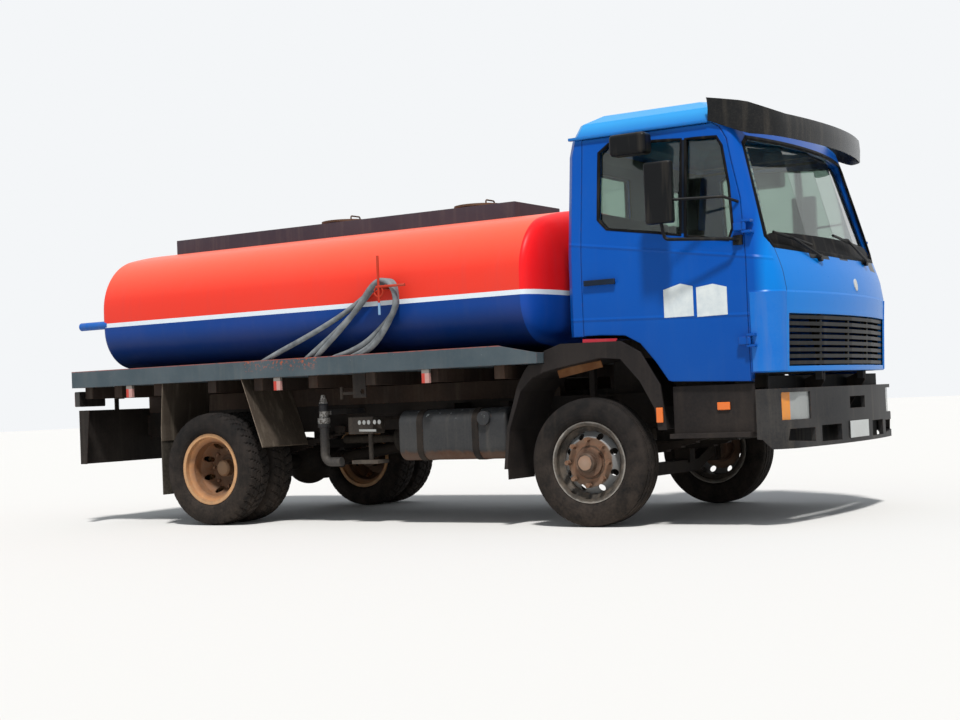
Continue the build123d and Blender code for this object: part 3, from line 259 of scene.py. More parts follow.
cabPaint = weathered("cabGlossPaint", dict(fade="#2a86dc", fadeShare=0.05, patchMm=600, dust="#5f7080", dustShare=0.08,
                                           dustTop=1.3, dustBase=0.02, streaks=0.03, rough=0.24, gloss=0.14,
                                           rustEdge=0.25, rustSpots=0.05, spotMm=22, grain=0.02, edgeMm=12.0,
                                           dents=0.05), cabColour, cabRelief)
dress(cabPaint, "cab_front", "cab_rear_wall", "cab_roof", "door_right", "door_left")


# Fuel tank: dark enamel over a rusty bottom band, with chips of bare metal along its upper edge
def fuelTankColour(at):
    rusty = ramp(at.z - noise(at.place, 70, 4.0) * 0.09, 0.475, 0.455)
    chips = ramp(noise(at.place, 38, 4.0, 0.6), 0.66, 0.69) * ramp(at.z, 0.72, 0.80)
    return mixed(chips, mixed(rusty, "#292b2e", "#4e3222"), "#b9bdbb")


# Deck and rim: blue-grey paint, a worn pinkish line along the rim's top, and rust patches by the right wing
deckLook = dict(paint="#404d54", line="#94504a", patch="#a8502c", chip="#c4c8c8", top=1.2085,
                patchRear=-2.78, patchFront=-2.1)


def deckColour(at):
    d = deckLook
    line = ramp(at.z, d["top"] - 0.006, d["top"] - 0.002) * ramp(noise(at.place, 60, 5.0, 0.7), 0.36, 0.5)
    worn = stretchX(at, d["patchRear"], d["patchFront"]) * ramp(noise(at.place, 26, 6.0, 0.7), 0.555, 0.585)
    chips = ramp(noise(at.place, 16, 4.0, 0.6), 0.685, 0.7) * ramp(at.z, 1.12, 1.21)
    base = mixed(worn * ramp(at.z, 1.11, 1.2), mixed(line, d["paint"], d["line"]), d["patch"])
    return mixed(chips, base, d["chip"])


# Wing sheets: dusty brown sheet, with pale worn paint on its outer edge
def wingColour(at):
    worn = ramp(noise(at.place, 30, 5.0, 0.65), 0.35, 0.7)
    return mixed(abs(at.y) > 1.1885, "#3c332b", mixed(worn, "#8f8172", "#5e5044"))


# Hose hook: red oxide bars over a pale blue foot
def hookColour(at):
    return mixed(at.z < 1.554, "#b3331e", "#7fa3c4")


# Pipework: dull silver cap and union rings over dark blue-black enamel
def pipeColour(at):
    bright = maths("MAXIMUM", between(at.z, 0.728, 0.818), at.z > 0.876)
    metal = mixed(ramp(noise(at.place, 14, 3.0), 0.4, 0.6), "#55504c", "#b8b6b2")
    return mixed(bright * (abs(at.y + 0.9) < 0.06), "#262a31", metal)


# Lamps: black boxes with red lenses facing the rear; side lamps with a grey mount over a red and clear lens
sideLampXs = (-1.180, -2.480, -3.950)


def lampColour(at):
    clear = 1.0
    for x in sideLampXs:
        clear = clear * (1.0 - stretchX(at, x - 0.004, x + 0.05))
    sideLamp = mixed(at.z > 1.052, mixed(clear, "#b98a82", "#b82c1c"), "#77706a")
    return mixed(at.x < frontX - 4.2, sideLamp, mixed(at.x < frontX - 4.5585, "#141315", "#a3161a"))


# Moulded lenses: amber turn lamp outboard, ribbed clear headlamp inboard
lensLook = dict(amber="#f0921a", clear="#9ea2a0", ribMm=9, split=0.945)


def lensColour(at):
    return mixed(abs(at.y) > lensLook["split"], lensLook["clear"], lensLook["amber"])


def lensRibs(at):
    return maths("SINE", at.y * (2 * math.pi / (lensLook["ribMm"] / 1000))) * 0.0015


# Wheels: rings of colour by distance from the axle, from hub cap to rim edge
wheelLook = dict(
    reach=0.3,
    front=((0.0, "#a08674"), (0.046, "#94745f"), (0.05, "#2c211b"), (0.062, "#4a352a"), (0.098, "#6a4a38"),
           (0.106, "#33261e"), (0.112, "#7a5640"), (0.158, "#6a5242"), (0.166, "#7d7f80"), (0.198, "#6f7273"),
           (0.206, "#2c2a29"), (0.24, "#2a2826"), (0.254, "#4a4642"), (0.262, "#9a958e")),
    rear=((0.0, "#8f7258"), (0.062, "#86694f"), (0.07, "#4a3426"), (0.158, "#6a4a34"), (0.2, "#7a5236"),
          (0.215, "#9a6a44"), (0.235, "#b98558"), (0.25, "#d0a070"), (0.262, "#c4946a")))


def ringColours(stops, axleX):
    def colour(at):
        run, rise, reach = at.x - axleX, at.z - axleZ, wheelLook["reach"]
        away = maths("SQRT", run * run + rise * rise) + (noise(at.place, 40) - 0.5) * 0.02
        band = addNode(away.tree, "ShaderNodeValToRGB", {0: away / reach})
        first, last = band.color_ramp.elements
        first.position, first.color = 0.0, linear(stops[0][1])
        last.position, last.color = stops[-1][0] / reach, linear(stops[-1][1])
        for radius, tone in stops[1:-1]:
            band.color_ramp.elements.new(radius / reach).color = linear(tone)
        return Value(away.tree, band.outputs[0])
    return colour


rimLook = dict(fadeShare=0.25, fade="#6d5a4c", patchMm=60, dustShare=0.25, rustSpots=0.3, rustEdge=0.4,
               rough=0.5, metal=0.15, dustTop=1.0)

# The other finishes: name, look, the nodes that wear it, and its colour and relief rules where it has them
finishes = (
    ("rustyChannelSteel", dict(base="#2e2420", fade="#4c3426", fadeShare=0.5, rust="#6a4028", rustEdge=0.8,
                               rustSpots=0.5, rough=0.75, dustShare=0.15), ("bearers",)),
    ("dustyChassisPaint", dict(base="#151313", fade="#2a2420", fadeShare=0.5, dust="#54483c", dustShare=0.3,
                               rustEdge=0.5, rustSpots=0.3, rough=0.65),
     ("chassis_frame", "front_axle", "rear_axle", "leaf_springs", "knuckle_right", "knuckle_left", "drive_shaft",
      "battery_box", "fuel_straps")),
    ("tailPanelPaint", dict(base="#1a1615", fade="#2c2624", fadeShare=0.4, dust="#6b6258", dustShare=0.2,
                            rustEdge=0.7, rough=0.6), ("tail_panel",)),
    ("oilyCastIron", dict(base="#1c1918", fade="#332922", fadeShare=0.5, rough=0.7, rustSpots=0.4, dustShare=0.2),
     ("engine", "silencer")),
    ("wornBracketPaint", dict(base="#2a2625", fade="#4a3e36", fadeShare=0.4, rustEdge=0.7, rustSpots=0.4, rough=0.6),
     ("meter_and_levers",)),
    ("spillRailPaint", dict(base="#3a3740", fade="#4c4850", fadeShare=0.3, dust="#7c7268", rustEdge=0.6, rough=0.55,
                            streaks=0.15, dustTop=3.0, dustShare=0.1), ("spill_box", "manhole_necks")),
    ("rustyLidSteel", dict(base="#5b4436", fade="#7a5c44", fadeShare=0.6, rustSpots=0.5, rough=0.7),
     ("manhole_lid_front", "manhole_lid_rear")),
    ("dustyRubberSheet", dict(base="#141212", fade="#221f1d", dustShare=0.35, rough=0.85), ("mud_flaps",)),
    ("bumperPaint", dict(base="#191b1f", fade="#34363a", fadeShare=0.35, rust="#7a4a30", rustEdge=0.5, rustSpots=0.15,
                         spotMm=60, rough=0.45, dustShare=0.1, gloss=0.12), ("bumper",)),
    ("guardPlastic", dict(base="#171516", fade="#2b2624", fadeShare=0.4, dust="#5a4e44", dustShare=0.22, dustTop=1.3,
                          rough=0.6, grainMm=2.0, grain=0.15), ("front_mudguards", "step_boxes")),
    ("blackTrimPlastic", dict(base="#08090a", fade="#17191b", rough=0.4, dustShare=0.05, dustBase=0.0),
     ("grille", "wipers", "steering_wheel", "dashboard")),
    ("mirrorHousingPlastic", dict(base="#0a0b0d", fade="#17191b", rough=0.35, dustShare=0.02, dustBase=0.0),
     ("door_mirror_right", "door_mirror_left")),
    ("smokedVisorAcrylic", dict(base="#04070b", fade="#0c141c", fadeShare=0.3, rough=0.2, gloss=0.2, dustShare=0.0),
     ("visor",)),
    ("cabFloorRubber", dict(base="#100f0f", rough=0.9, dustShare=0.1), ("cab_floor",)),
    ("seatCloth", dict(base="#1b1817", fade="#2b2522", rough=0.95, grainMm=3.0, grain=0.4, dustShare=0.05),
     ("seats",)),
    ("blankPlate", dict(base="#c9ccca", fade="#b5b6b2", rough=0.4, dustShare=0.3), ("number_plate",)),
    ("darkFuelTankPaint", dict(rust="#6b4029", rustEdge=0.7, rustSpots=0.1, rough=0.5, fade="#3c3f42", dustShare=0.15,
                               dustTop=0.8, gloss=0.2), ("fuel_tank",), fuelTankColour),
    ("deckPaint", dict(fade="#56636a", fadeShare=0.35, patchMm=250, rust="#8a4a34", rustEdge=1.0, rustSpots=0.25,
                       spotMm=34, dustTop=1.4, rough=0.5, dustShare=0.1), ("deck",), deckColour),
    ("dustyWingSheet", dict(fade="#4a3f36", fadeShare=0.4, dustShare=0.25, rustEdge=0.4, rough=0.8, streaks=0.3),
     ("rear_wings",), wingColour),
    ("hookEnamel", dict(fade="#a08878", fadeShare=0.2, rustEdge=0.5, rustSpots=0.3, rough=0.5), ("hose_hook",),
     hookColour),
    ("pipeEnamel", dict(fade="#4a4440", fadeShare=0.3, rustEdge=0.4, rustSpots=0.3, rough=0.4, metal=0.2),
     ("delivery_pipe", "hose_couplings"), pipeColour),
    ("mouldedLampPlastic", dict(fadeShare=0.0, dustShare=0.2, rough=0.25, gloss=0.5), ("lamps",), lampColour),
    ("ribbedLens", dict(fadeShare=0.0, dustShare=0.15, rough=0.12, coat=0.8), ("headlamps",), lensColour, lensRibs),
    ("frontWheelPaint", rimLook, ("front_rim_right", "front_rim_left"), ringColours(wheelLook["front"], frontX)),
    ("rearWheelPaint", rimLook, ("rear_rims_right", "rear_rims_left"), ringColours(wheelLook["rear"], rearX)),
)
for title, look, names, *rules in finishes:
    dress(weathered(title, look, *rules), *names)

# Laminated window glass: clear, faintly green, with a film of road dust
glassLook = dict(tint="#b2c3b9", film=0.03)
glass, glassTree, glassShader, place = newMaterial("windowGlass")
film = ramp(noise(place, 160, 5.0, 0.6), 0.35, 0.8) * glassLook["film"]
blur = addNode(glassTree, "ShaderNodeMapRange", {0: film, 3: 0.03, 4: 0.3}).outputs[0]
fill(glassTree, glassShader, {"Base Color": linear(glassLook["tint"]), "Roughness": blur, "IOR": 1.5,
                              "Transmission Weight": 1.0 - film})
dress(glass, "cab_glass", "door_glass_right", "door_glass_left")
print("finishes dressed")


def linked(name, data):
    piece = bpy.data.objects.new(name, data)
    bpy.context.scene.collection.objects.link(piece)
    return piece


def meshObject(name, points, faces, material):
    mesh = bpy.data.meshes.new(name)
    mesh.from_pydata(points, [], faces)
    mesh.materials.append(material)
    shape = bmesh.new()
    shape.from_mesh(mesh)
    bmesh.ops.remove_doubles(shape, verts=shape.verts, dist=1e-6)
    bmesh.ops.recalc_face_normals(shape, faces=shape.faces)
    shape.to_mesh(mesh)
    shape.free()
    return linked(name, mesh)


# Gives a piece its body, and lets it stand for the CAD nodes named
def settle(piece, body, slotName, *nodes):
    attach(piece, body)
    if nodes:
        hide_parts(*nodes)
    return piece


def evaluated(piece):  # its mesh with the modifiers applied
    return bpy.data.meshes.new_from_object(piece.evaluated_get(bpy.context.evaluated_depsgraph_get()))


# Cuts the blocks out of a piece and leaves plain mesh, smooth over its bends and sharp at its edges
def carve(piece, cutters=(), sharpAngle=28):
    for cutter in cutters:
        cut = piece.modifiers.new("cut", "BOOLEAN")
        cut.operation = "DIFFERENCE"
        cut.solver = "EXACT"
        cut.object = cutter
    shape = evaluated(piece)
    piece.modifiers.clear()
    piece.data = shape
    for cutter in cutters:
        bpy.data.objects.remove(cutter)
    shape.polygons.foreach_set("use_smooth", [True] * len(shape.polygons))
    shape.set_sharp_from_angle(angle=math.radians(sharpAngle))
    return piece


def sideSpace(u, v, depth):  # x from the front axle and z, at a side distance
    return frontX + u, depth, v


def frontSpace(u, v, depth):  # y and z, at a distance from the front axle
    return frontX + depth, u, v


# A block between two depths, from an outline laid in the space of toSpace(u, v, depth)
def block(name, outline, toSpace, depths, material=None):
    n = len(outline)
    points = [toSpace(u, v, depth) for depth in depths for u, v in outline]
    faces = [tuple(range(n)), tuple(range(n, 2 * n))] + [(i, (i + 1) % n, n + (i + 1) % n, n + i) for i in range(n)]
    return meshObject(name, points, faces, material)


def knife(outline, toSpace, *depths):
    return block("knife", outline, toSpace, depths)


def rectangle(u0, u1, v0, v1):
    return ((u0, v0), (u1, v0), (u1, v1), (u0, v1))


def ellipse(u, v, halfWide, halfHigh, count):
    turns = [2 * math.pi * i / count for i in range(count)]
    return [(u + halfWide * math.cos(turn), v + halfHigh * math.sin(turn)) for turn in turns]


# An arc through three points of a plan, as a row of points
def arcThrough(a, b, c, steps):
    area = 2 * (a[0] * (b[1] - c[1]) + b[0] * (c[1] - a[1]) + c[0] * (a[1] - b[1]))
    squares = [p[0] ** 2 + p[1] ** 2 for p in (a, b, c)]
    hubX = (squares[0] * (b[1] - c[1]) + squares[1] * (c[1] - a[1]) + squares[2] * (a[1] - b[1])) / area
    hubY = (squares[0] * (c[0] - b[0]) + squares[1] * (a[0] - c[0]) + squares[2] * (b[0] - a[0])) / area
    start, middle, end = (math.atan2(p[1] - hubY, p[0] - hubX) for p in (a, b, c))
    turn = (end - start) % (2 * math.pi)
    if (middle - start) % (2 * math.pi) > turn:
        turn -= 2 * math.pi
    reach = math.hypot(a[0] - hubX, a[1] - hubY)
    return [(hubX + reach * math.cos(start + turn * i / steps), hubY + reach * math.sin(start + turn * i / steps))
            for i in range(steps + 1)]


# The plan of a piece that wraps round the front, from the truck's right to its left
def wrapPlan(look):
    front, *corner = look["plan"]
    across = [(x, -y) for x, y in corner]
    bow = arcThrough(across[0], (front, 0.0), corner[0], 16)
    bends = arcThrough(*across[::-1], 6) + bow[1:-1] + arcThrough(*corner, 6)
    return [(look["back"], -look["sideY"])] + bends + [(look["back"], look["sideY"])]


def course(before, after):
    return Vector((after[0] - before[0], after[1] - before[1])).normalized()


def insetPath(path, distance):
    moved = []
    for i, here in enumerate(path):
        ahead = course(path[max(i - 1, 0)], path[min(i + 1, len(path) - 1)])
        moved.append((here[0] - ahead[1] * distance, here[1] + ahead[0] * distance))
    return moved


# A bent wall: rows of (x, y, z) on its outer face, each with its own row on the inner face
def bentWall(name, outerRows, innerRows, material):
    count = len(outerRows[0])
    points = [(frontX + x, y, z) for rows in (outerRows, innerRows) for row in rows for x, y, z in row]
    half = len(outerRows) * count
    faces = []
    for r in range(len(outerRows) - 1):
        for i in range(count - 1):
            a = r * count + i
            faces += [(a, a + 1, a + count + 1, a + count),
                      (half + a, half + a + count, half + a + count + 1, half + a + 1)]
        for i in (0, count - 1):
            a = r * count + i
            faces.append((a, a + count, half + a + count, half + a))
    for r in (0, len(outerRows) - 1):
        for i in range(count - 1):
            a = r * count + i
            faces.append((a, half + a, half + a + 1, a + 1))
    return meshObject(name, points, faces, material)


# An upright wall between two insets of a plan, which may change with height; trim drops points at its ends
def planWall(name, levels, planAt, insets, material, trim=0):
    rows = []
    for inset in insets:
        paths = [(z, insetPath(planAt(z), inset)) for z in levels]
        rows.append([[(x, y, z) for x, y in path[trim:len(path) - trim]] for z, path in paths])
    return bentWall(name, *rows, material)


# Adds a round bar along a path of points
def bar(path, radius, points, faces, count=8):
    base = len(points)
    for i, here in enumerate(path):
        ahead = (Vector(path[min(i + 1, len(path) - 1)]) - Vector(path[max(i - 1, 0)])).normalized()
        across = ahead.cross(Vector((0, 0, 1))).normalized()
        over = across.cross(ahead)
        for k in range(count):
            angle = 2 * math.pi * k / count
            points.append(tuple(Vector(here) + (across * math.cos(angle) + over * math.sin(angle)) * radius))
    for i in range(len(path) - 1):
        for k in range(count):
            a, b = base + i * count + k, base + i * count + (k + 1) % count
            faces.append((a, b, b + count, a + count))
    faces += [tuple(range(base, base + count)), tuple(range(len(points) - count, len(points)))]


# Tyre carcass and tread from one rule: half profile (width, radius) in mm, then the tread's grooves
tyreLook = dict(steps=240, crownSteps=44, groove=11.0,
                half=((86.7, 248.0), (86.7, 266.3), (104.0, 277.0), (114.5, 289.0), (120.5, 308.0), (122.5, 332.0),
                      (120.0, 356.0), (114.5, 379.0), (108.0, 396.0)),
                crown=((104.0, 403.0), (98.0, 411.0), (84.0, 415.5), (62.5, 419.0), (0.0, 420.0)))
tyreRubber = weathered("dustyTyreRubber", dict(base="#151414", fade="#2b2624", fadeShare=0.5, patchMm=90,
                                               dust="#5c4f44", dustShare=0.28, dustTop=0.7, dustBase=0.06,
                                               rough=0.85, grainMm=3.0, grain=0.2, edgeMm=2.0))


def crownRadius(width):
    stops = tyreLook["crown"]
    for (w0, r0), (w1, r1) in zip(stops, stops[1:]):
        if w1 <= abs(width) <= w0:
            return r1 + (r0 - r1) * (abs(width) - w1) / (w0 - w1)
    return stops[0][1]


# How much of the groove's depth is cut at a width and a step: waving ribs in front, staggered blocks behind
def grooveDepth(width, step, style):
    if style == "rib":
        wander = 3.0 * (1 if (step // 2) % 2 else -1)
        return 1.0 if any(abs(width - c - wander) < 4.2 for c in (-66, -24, 24, 66)) else 0.0
    if abs(width) < 5.0 + 2.0 * ((step // 3) % 2):
        return 1.0
    if abs(abs(width) - 48) < 4.5 and (step // 3) % 2:
        return 0.8
    offset = 0 if width > 0 else 3
    return 1.0 if (step + offset + int(abs(width) / 26)) % 6 == 0 else 0.0


def tyrePoints(centre, style, points, faces):
    half = tyreLook["half"]
    wide = tyreLook["crown"][0][0]
    steps, across = tyreLook["steps"], tyreLook["crownSteps"]
    rows = len(half) * 2 + across + 1
    first = len(points)
    for step in range(steps):
        angle = 2 * math.pi * step / steps
        profile = [(-w, r) for w, r in half]
        for i in range(across + 1):
            width = -wide + 2 * wide * i / across
            cut = grooveDepth(width, step, style) if abs(width) < wide - 2 or style != "rib" else 0.0
            profile.append((width, crownRadius(width) - tyreLook["groove"] * cut))
        profile += [(w, r) for w, r in reversed(half)]
        for width, radius in profile:
            points.append((centre[0] + radius / 1000 * math.sin(angle), centre[1] + width / 1000,
                           centre[2] + radius / 1000 * math.cos(angle)))
    for step in range(steps):
        here, there = first + step * rows, first + (step + 1) % steps * rows
        for i in range(rows):
            j = (i + 1) % rows
            faces.append((here + i, here + j, there + j, there + i))


for side, sign in sides:
    for node, body, x, ys, style in (
            (f"front_tyre_{side}", f"front_wheel_{side}", frontX, (1.0,), "rib"),
            (f"rear_tyres_{side}", f"rear_wheels_{side}", rearX, (0.827, 1.103), "block")):
        points, faces = [], []
        for y in ys:
            tyrePoints((x, sign * y, axleZ), style, points, faces)
        settle(meshObject(node + "_tread", points, faces, tyreRubber), body, "tyre_rubber", node)
print("tyres made")

# Wheel nuts: one ring of hexagons with their studs, by Geometry Nodes
nutLook = {"Count": 8, "Circle Radius": 0.148, "Size": 0.017, "Depth": 0.022}


def ringTree(name, material):
    tree = bpy.data.node_groups.new(name, "GeometryNodeTree")
    for label, value in nutLook.items():
        kind = "NodeSocketInt" if isinstance(value, int) else "NodeSocketFloat"
        tree.interface.new_socket(label, in_out="INPUT", socket_type=kind).default_value = value
    tree.interface.new_socket("Geometry", in_out="OUTPUT", socket_type="NodeSocketGeometry")
    entry = {socket.name: Value(tree, socket) for socket in addNode(tree, "NodeGroupInput").outputs if socket.name}
    circle = addNode(tree, "GeometryNodeMeshCircle", {"Vertices": entry["Count"], "Radius": entry["Circle Radius"]})
    nut = addNode(tree, "GeometryNodeMeshCone", {"Vertices": 6, "Radius Bottom": entry["Size"],
                                                 "Radius Top": entry["Size"] * 0.86, "Depth": entry["Depth"]})
    stud = addNode(tree, "GeometryNodeMeshCylinder", {"Vertices": 10, "Radius": entry["Size"] * 0.5,
                                                      "Depth": entry["Depth"] * 1.9})
    both = addNode(tree, "GeometryNodeJoinGeometry")
    tree.links.new(nut.outputs["Mesh"], both.inputs[0])
    tree.links.new(stud.outputs["Mesh"], both.inputs[0])
    spread = addNode(tree, "GeometryNodeInstanceOnPoints", {"Points": circle.outputs[0], "Instance": both.outputs[0]})
    real = addNode(tree, "GeometryNodeRealizeInstances", {0: spread.outputs[0]}).outputs[0]
    done = addNode(tree, "GeometryNodeSetMaterial", {"Geometry": real, "Material": material}).outputs[0]
    addNode(tree, "NodeGroupOutput", {0: done})
    return tree


nutSteel = weathered("rustyWheelNut", dict(base="#6e4a36", fade="#8a6a52", fadeShare=0.7, patchMm=25,
                                           rustSpots=0.5, rough=0.6, metal=0.3, edgeMm=2.0))
nutTree = ringTree("wheelNutRing", nutSteel)


def nutRing(name, x, y, sign, body, values):
    holder = linked(name + "_holder", bpy.data.meshes.new(name + "_holder"))
    modifier = holder.modifiers.new("ring", "NODES")
    modifier.node_group = nutTree
    for item in nutTree.interface.items_tree:
        if item.name in values:
            modifier[item.identifier] = values[item.name]
    shape = evaluated(holder)
    shape.transform(Matrix.Translation((x, y, axleZ)) @ Matrix.Rotation(math.radians(-90 * sign), 4, "X"))
    bpy.data.objects.remove(holder)
    settle(linked(name, shape), body, "rim_steel")


for side, sign in sides:
    nutRing(f"front_nuts_{side}", frontX, sign * 1.088, sign, f"front_wheel_{side}", {"Depth": 0.036, "Size": 0.019})
    nutRing(f"rear_nuts_{side}", rearX, sign * 0.977, sign, f"rear_wheels_{side}",
            {"Size": 0.014, "Circle Radius": 0.138})
print("wheel nuts made")

# The delivery hose: braided grey rubber, three loops on the hook and the rest along the deck. Its route is in mm
# from the front axle. Each loop: where its rear leg and its front leg land, y on the hook, reach of its front
# bulge, and y of the strands inboard and outboard of it.
hoseLook = dict(radius=0.019, length=18.4, floor=1139.3, hookX=-1490, hookLow=-1154, turnX=-4010, turnY=-926,
                loops=((-2690, -2020, -1152, -1425, -652, -1158), (-2260, -1850, -1194, -1400, -694, -1116),
                       (-2180, -1800, -1236, -1378, -736, -1074)))


# One loop: in along its inner strand, up the front leg, over the hook and down the rear leg
def loopPoints(rearLand, frontLand, y, bulge, inner, outer):
    floor, hookX, hookLow = (hoseLook[key] for key in ("floor", "hookX", "hookLow"))
    points = [(-3560, inner + 5, floor), (-3080, inner + 6, floor), (-2640, inner, floor),
              (frontLand - 330, inner - 95, floor), (frontLand - 120, -1100, floor + 4)]
    for t in (0.0, 0.33, 0.66):
        points.append((frontLand + (bulge - 60 - frontLand) * t, -1150 + (y + 1150) * t ** 2.5, 1192 + 208 * t ** 1.5))
    points += [(bulge, y, 1500), (bulge + 5, y, 1625), (hookX + 45, y, 1712), (hookX - 60, y, 1706)]
    for t in (0.2, 0.42, 0.64, 0.84):
        points.append((hookX - 95 + (rearLand - hookX + 95) * t, y + (hookLow - y) * t, 1690 - 500 * t ** 0.75))
    return points + [(rearLand - 60, (outer - 1156) / 2, floor + 10)]


# Back along the outer strand and round the turn at the tail
def turnPoints(outer):
    floor, wide = hoseLook["floor"], (hoseLook["turnY"] - outer) / math.cos(math.radians(22.5))
    turns = [math.radians(angle) for angle in (-67.5, -22.5, 22.5, 67.5)]
    return [(-3180, outer + 5, floor), (-3620, outer + 5, floor)] + [
        (hoseLook["turnX"] - wide * math.cos(turn), hoseLook["turnY"] + wide * math.sin(turn), floor) for turn in turns]


hoseFloor, hoseLoops = hoseLook["floor"], hoseLook["loops"]
routeMm = [(-4040, hoseLoops[0][4], hoseFloor)]
for loop in hoseLoops:
    routeMm += loopPoints(*loop)
    if loop is not hoseLoops[-1]:
        routeMm += turnPoints(loop[5])
lastY = hoseLoops[-1][5]
routeMm += [(-2880, lastY + 6, hoseFloor), (-3330, lastY + 5, hoseFloor), (-3700, lastY, hoseFloor)]
hoseRoute = [(frontX + round(x, 1) / 1000, round(y, 1) / 1000, round(z, 1) / 1000) for x, y, z in routeMm]


def hoseGreyAndHighlights(at):
    # dark grey rubber, with lighter grey patches that are painted highlights
    return mixed(ramp(noise(at.place, 90, 4.0), 0.35, 0.7), "#5f6468", "#8b9092")


hoseRubber = weathered("braidedHoseRubber", dict(fadeShare=0.2, fade="#a7aaa9", patchMm=120, dust="#7d7468",
                                                 dustShare=0.3, dustTop=1.6, rough=0.75, grainMm=3.0, grain=0.35,
                                                 edgeMm=1.0), hoseGreyAndHighlights)
curve = bpy.data.curves.new("hose", "CURVE")
curve.dimensions = "3D"
strand = curve.splines.new("NURBS")
strand.points.add(len(hoseRoute) - 1)
for point, spot in zip(strand.points, hoseRoute):
    point.co = (*spot, 1.0)
strand.order_u = 3
strand.use_endpoint_u = True
strand.resolution_u = 8
curve.bevel_depth = hoseLook["radius"]
curve.bevel_resolution = 4
curve.use_fill_caps = True
curve.materials.append(hoseRubber)
hose = settle(linked("hose", curve), "chassis", "hose_rubber", "delivery_hose")
print("hose laid")

# The tank as one smooth shell: its section read from the plain solid, and dished heads in many small steps
tankShell = dict(middle=1.675, least=0.49, depth=0.12, steps=16, dish=0.37)
middle, steps = tankShell["middle"], tankShell["steps"]
section = sorted({(round(v.co[1], 5), round(v.co[2], 5)) for v in parts["tank"].data.vertices
                  if abs(v.co[0] - tankLook["frontSeam"]) < 1e-4
                  and math.hypot(v.co[1], v.co[2] - middle) > tankShell["least"]},
                 key=lambda p: math.atan2(p[1] - middle, p[0]))
turns = [math.radians(89) * (1 - i / steps) for i in range(steps + 1)]
rings = [(tankLook["rearSeam"] - tankShell["depth"] * math.sin(turn), math.cos(turn) ** tankShell["dish"])
         for turn in turns]
rings += [(tankLook["frontSeam"] + tankLook["rearSeam"] - x, size) for x, size in reversed(rings)]
points = [(x, y * size, middle + (z - middle) * size) for x, size in rings for y, z in section]
n = len(section)
faces = [(r * n + i, r * n + (i + 1) % n, (r + 1) * n + (i + 1) % n, (r + 1) * n + i)
         for r in range(len(rings) - 1) for i in range(n)]
faces += [tuple(range(n)), tuple(range((len(rings) - 1) * n, len(rings) * n))]
settle(carve(meshObject("tank_skin", points, faces, tankPaint), sharpAngle=60), "chassis", "tank_red", "tank")
print("tank made of", n, "points a ring")

# Rubber seals round the windows: side outlines (x from the front axle, z) and front outlines (y, z)
sealLook = dict(outer=0.009, inner=0.009, proud=0.004)
sealRubber = weathered("sealRubber", dict(base="#050507", fade="#101113", rough=0.6, dustShare=0.02, dustBase=0.0,
                                          gloss=0.1, edgeMm=3.0))
rearPane = ((0.125, 1.99), (0.189, 1.923), (0.542, 1.868), (0.712, 1.836), (0.712, 2.45), (0.198, 2.482),
            (0.125, 2.43))
frontPane = ((0.742, 1.828), (1.034, 1.777), (1.063, 1.852), (1.037, 2.121), (0.989, 2.376), (0.952, 2.438),
             (0.742, 2.448))
windscreen = ((-1.0, 1.79), (-0.955, 1.735), (-0.5, 1.715), (0.0, 1.705), (0.5, 1.715), (0.955, 1.735), (1.0, 1.79),
              (0.925, 2.385), (0.87, 2.428), (-0.87, 2.428), (-0.925, 2.385))
backPane = ((0.18, 1.95), (0.72, 1.95), (0.72, 2.35), (0.18, 2.35))

# The cab's plan by height: z, half width, and x from the front axle of the side's end, the corner and the nose
cabRows = ((0.88, 1.08, 1.195, 1.32, 1.415), (1.3, 1.09, 1.2, 1.335, 1.435), (1.45, 1.09, 1.2, 1.345, 1.445),
           (1.59, 1.089, 1.19, 1.322, 1.427), (1.72, 1.085, 1.165, 1.275, 1.385), (1.81, 1.08, 1.15, 1.25, 1.36),
           (2.43, 1.01, 1.02, 1.08, 1.195), (2.53, 1.0, 0.985, 1.045, 1.15))
cornerSwell = 0.17       # the corner arc's rise over its chord
cornerBend = 0.8203      # and its radius over its chord


# The plan's half width, side's end, corner, nose, and half width of the bow between the corners
def cabPlan(z):
    row = cabRows[-1]
    for low, high in zip(cabRows, cabRows[1:]):
        if low[0] <= z <= high[0]:
            share = (z - low[0]) / (high[0] - low[0])
            row = [a + (b - a) * share for a, b in zip(low, high)]
            break
    half, sideEnd, corner, nose = row[1:]
    return half, sideEnd, corner, nose, half - min(0.135, (corner - sideEnd) * 1.25)


def skinX(y, z):
    half, sideEnd, corner, nose, edge = cabPlan(z)
    y = abs(y)
    bow = (edge ** 2 + (nose - corner) ** 2) / (2 * (nose - corner))
    if y <= edge:
        return nose - bow + math.sqrt(bow ** 2 - y ** 2)
    run, rise = corner - sideEnd, half - edge
    chord = math.hypot(run, rise)
    bend = cornerBend * chord
    hub = Vector(((sideEnd + corner) / 2, (half + edge) / 2))
    hub -= Vector((rise, run)) / chord * (bend - cornerSwell * chord)
    return hub[0] + math.sqrt(max(bend ** 2 - (y - hub[1]) ** 2, 0.0))


def skinSpace(u, v, depth):  # y and z, laid on the cab's front
    return frontX + skinX(u, v) + depth, u, v


# A thin strip behind the cab's front between two depths, from rows of two points (y, z)
def skinStrip(name, rows, depths, material):
    points = [skinSpace(u, v, depth) for depth in depths for row in rows for u, v in row]
    n = len(points) // 2
    faces = [(0, 1, n + 1, n), (n - 2, 2 * n - 2, 2 * n - 1, n - 1)]
    for i in range(0, n - 2, 2):
        faces += [(i, i + 2, i + 3, i + 1), (n + i, n + i + 1, n + i + 3, n + i + 2), (i, n + i, n + i + 2, i + 2),
                  (i + 1, i + 3, n + i + 3, n + i + 1)]
    return meshObject(name, points, faces, material)


def doorSpace(sign):  # x from the front axle and z, laid on a door
    return lambda u, v, depth: (frontX + u, sign * (cabPlan(v)[0] + depth), v)


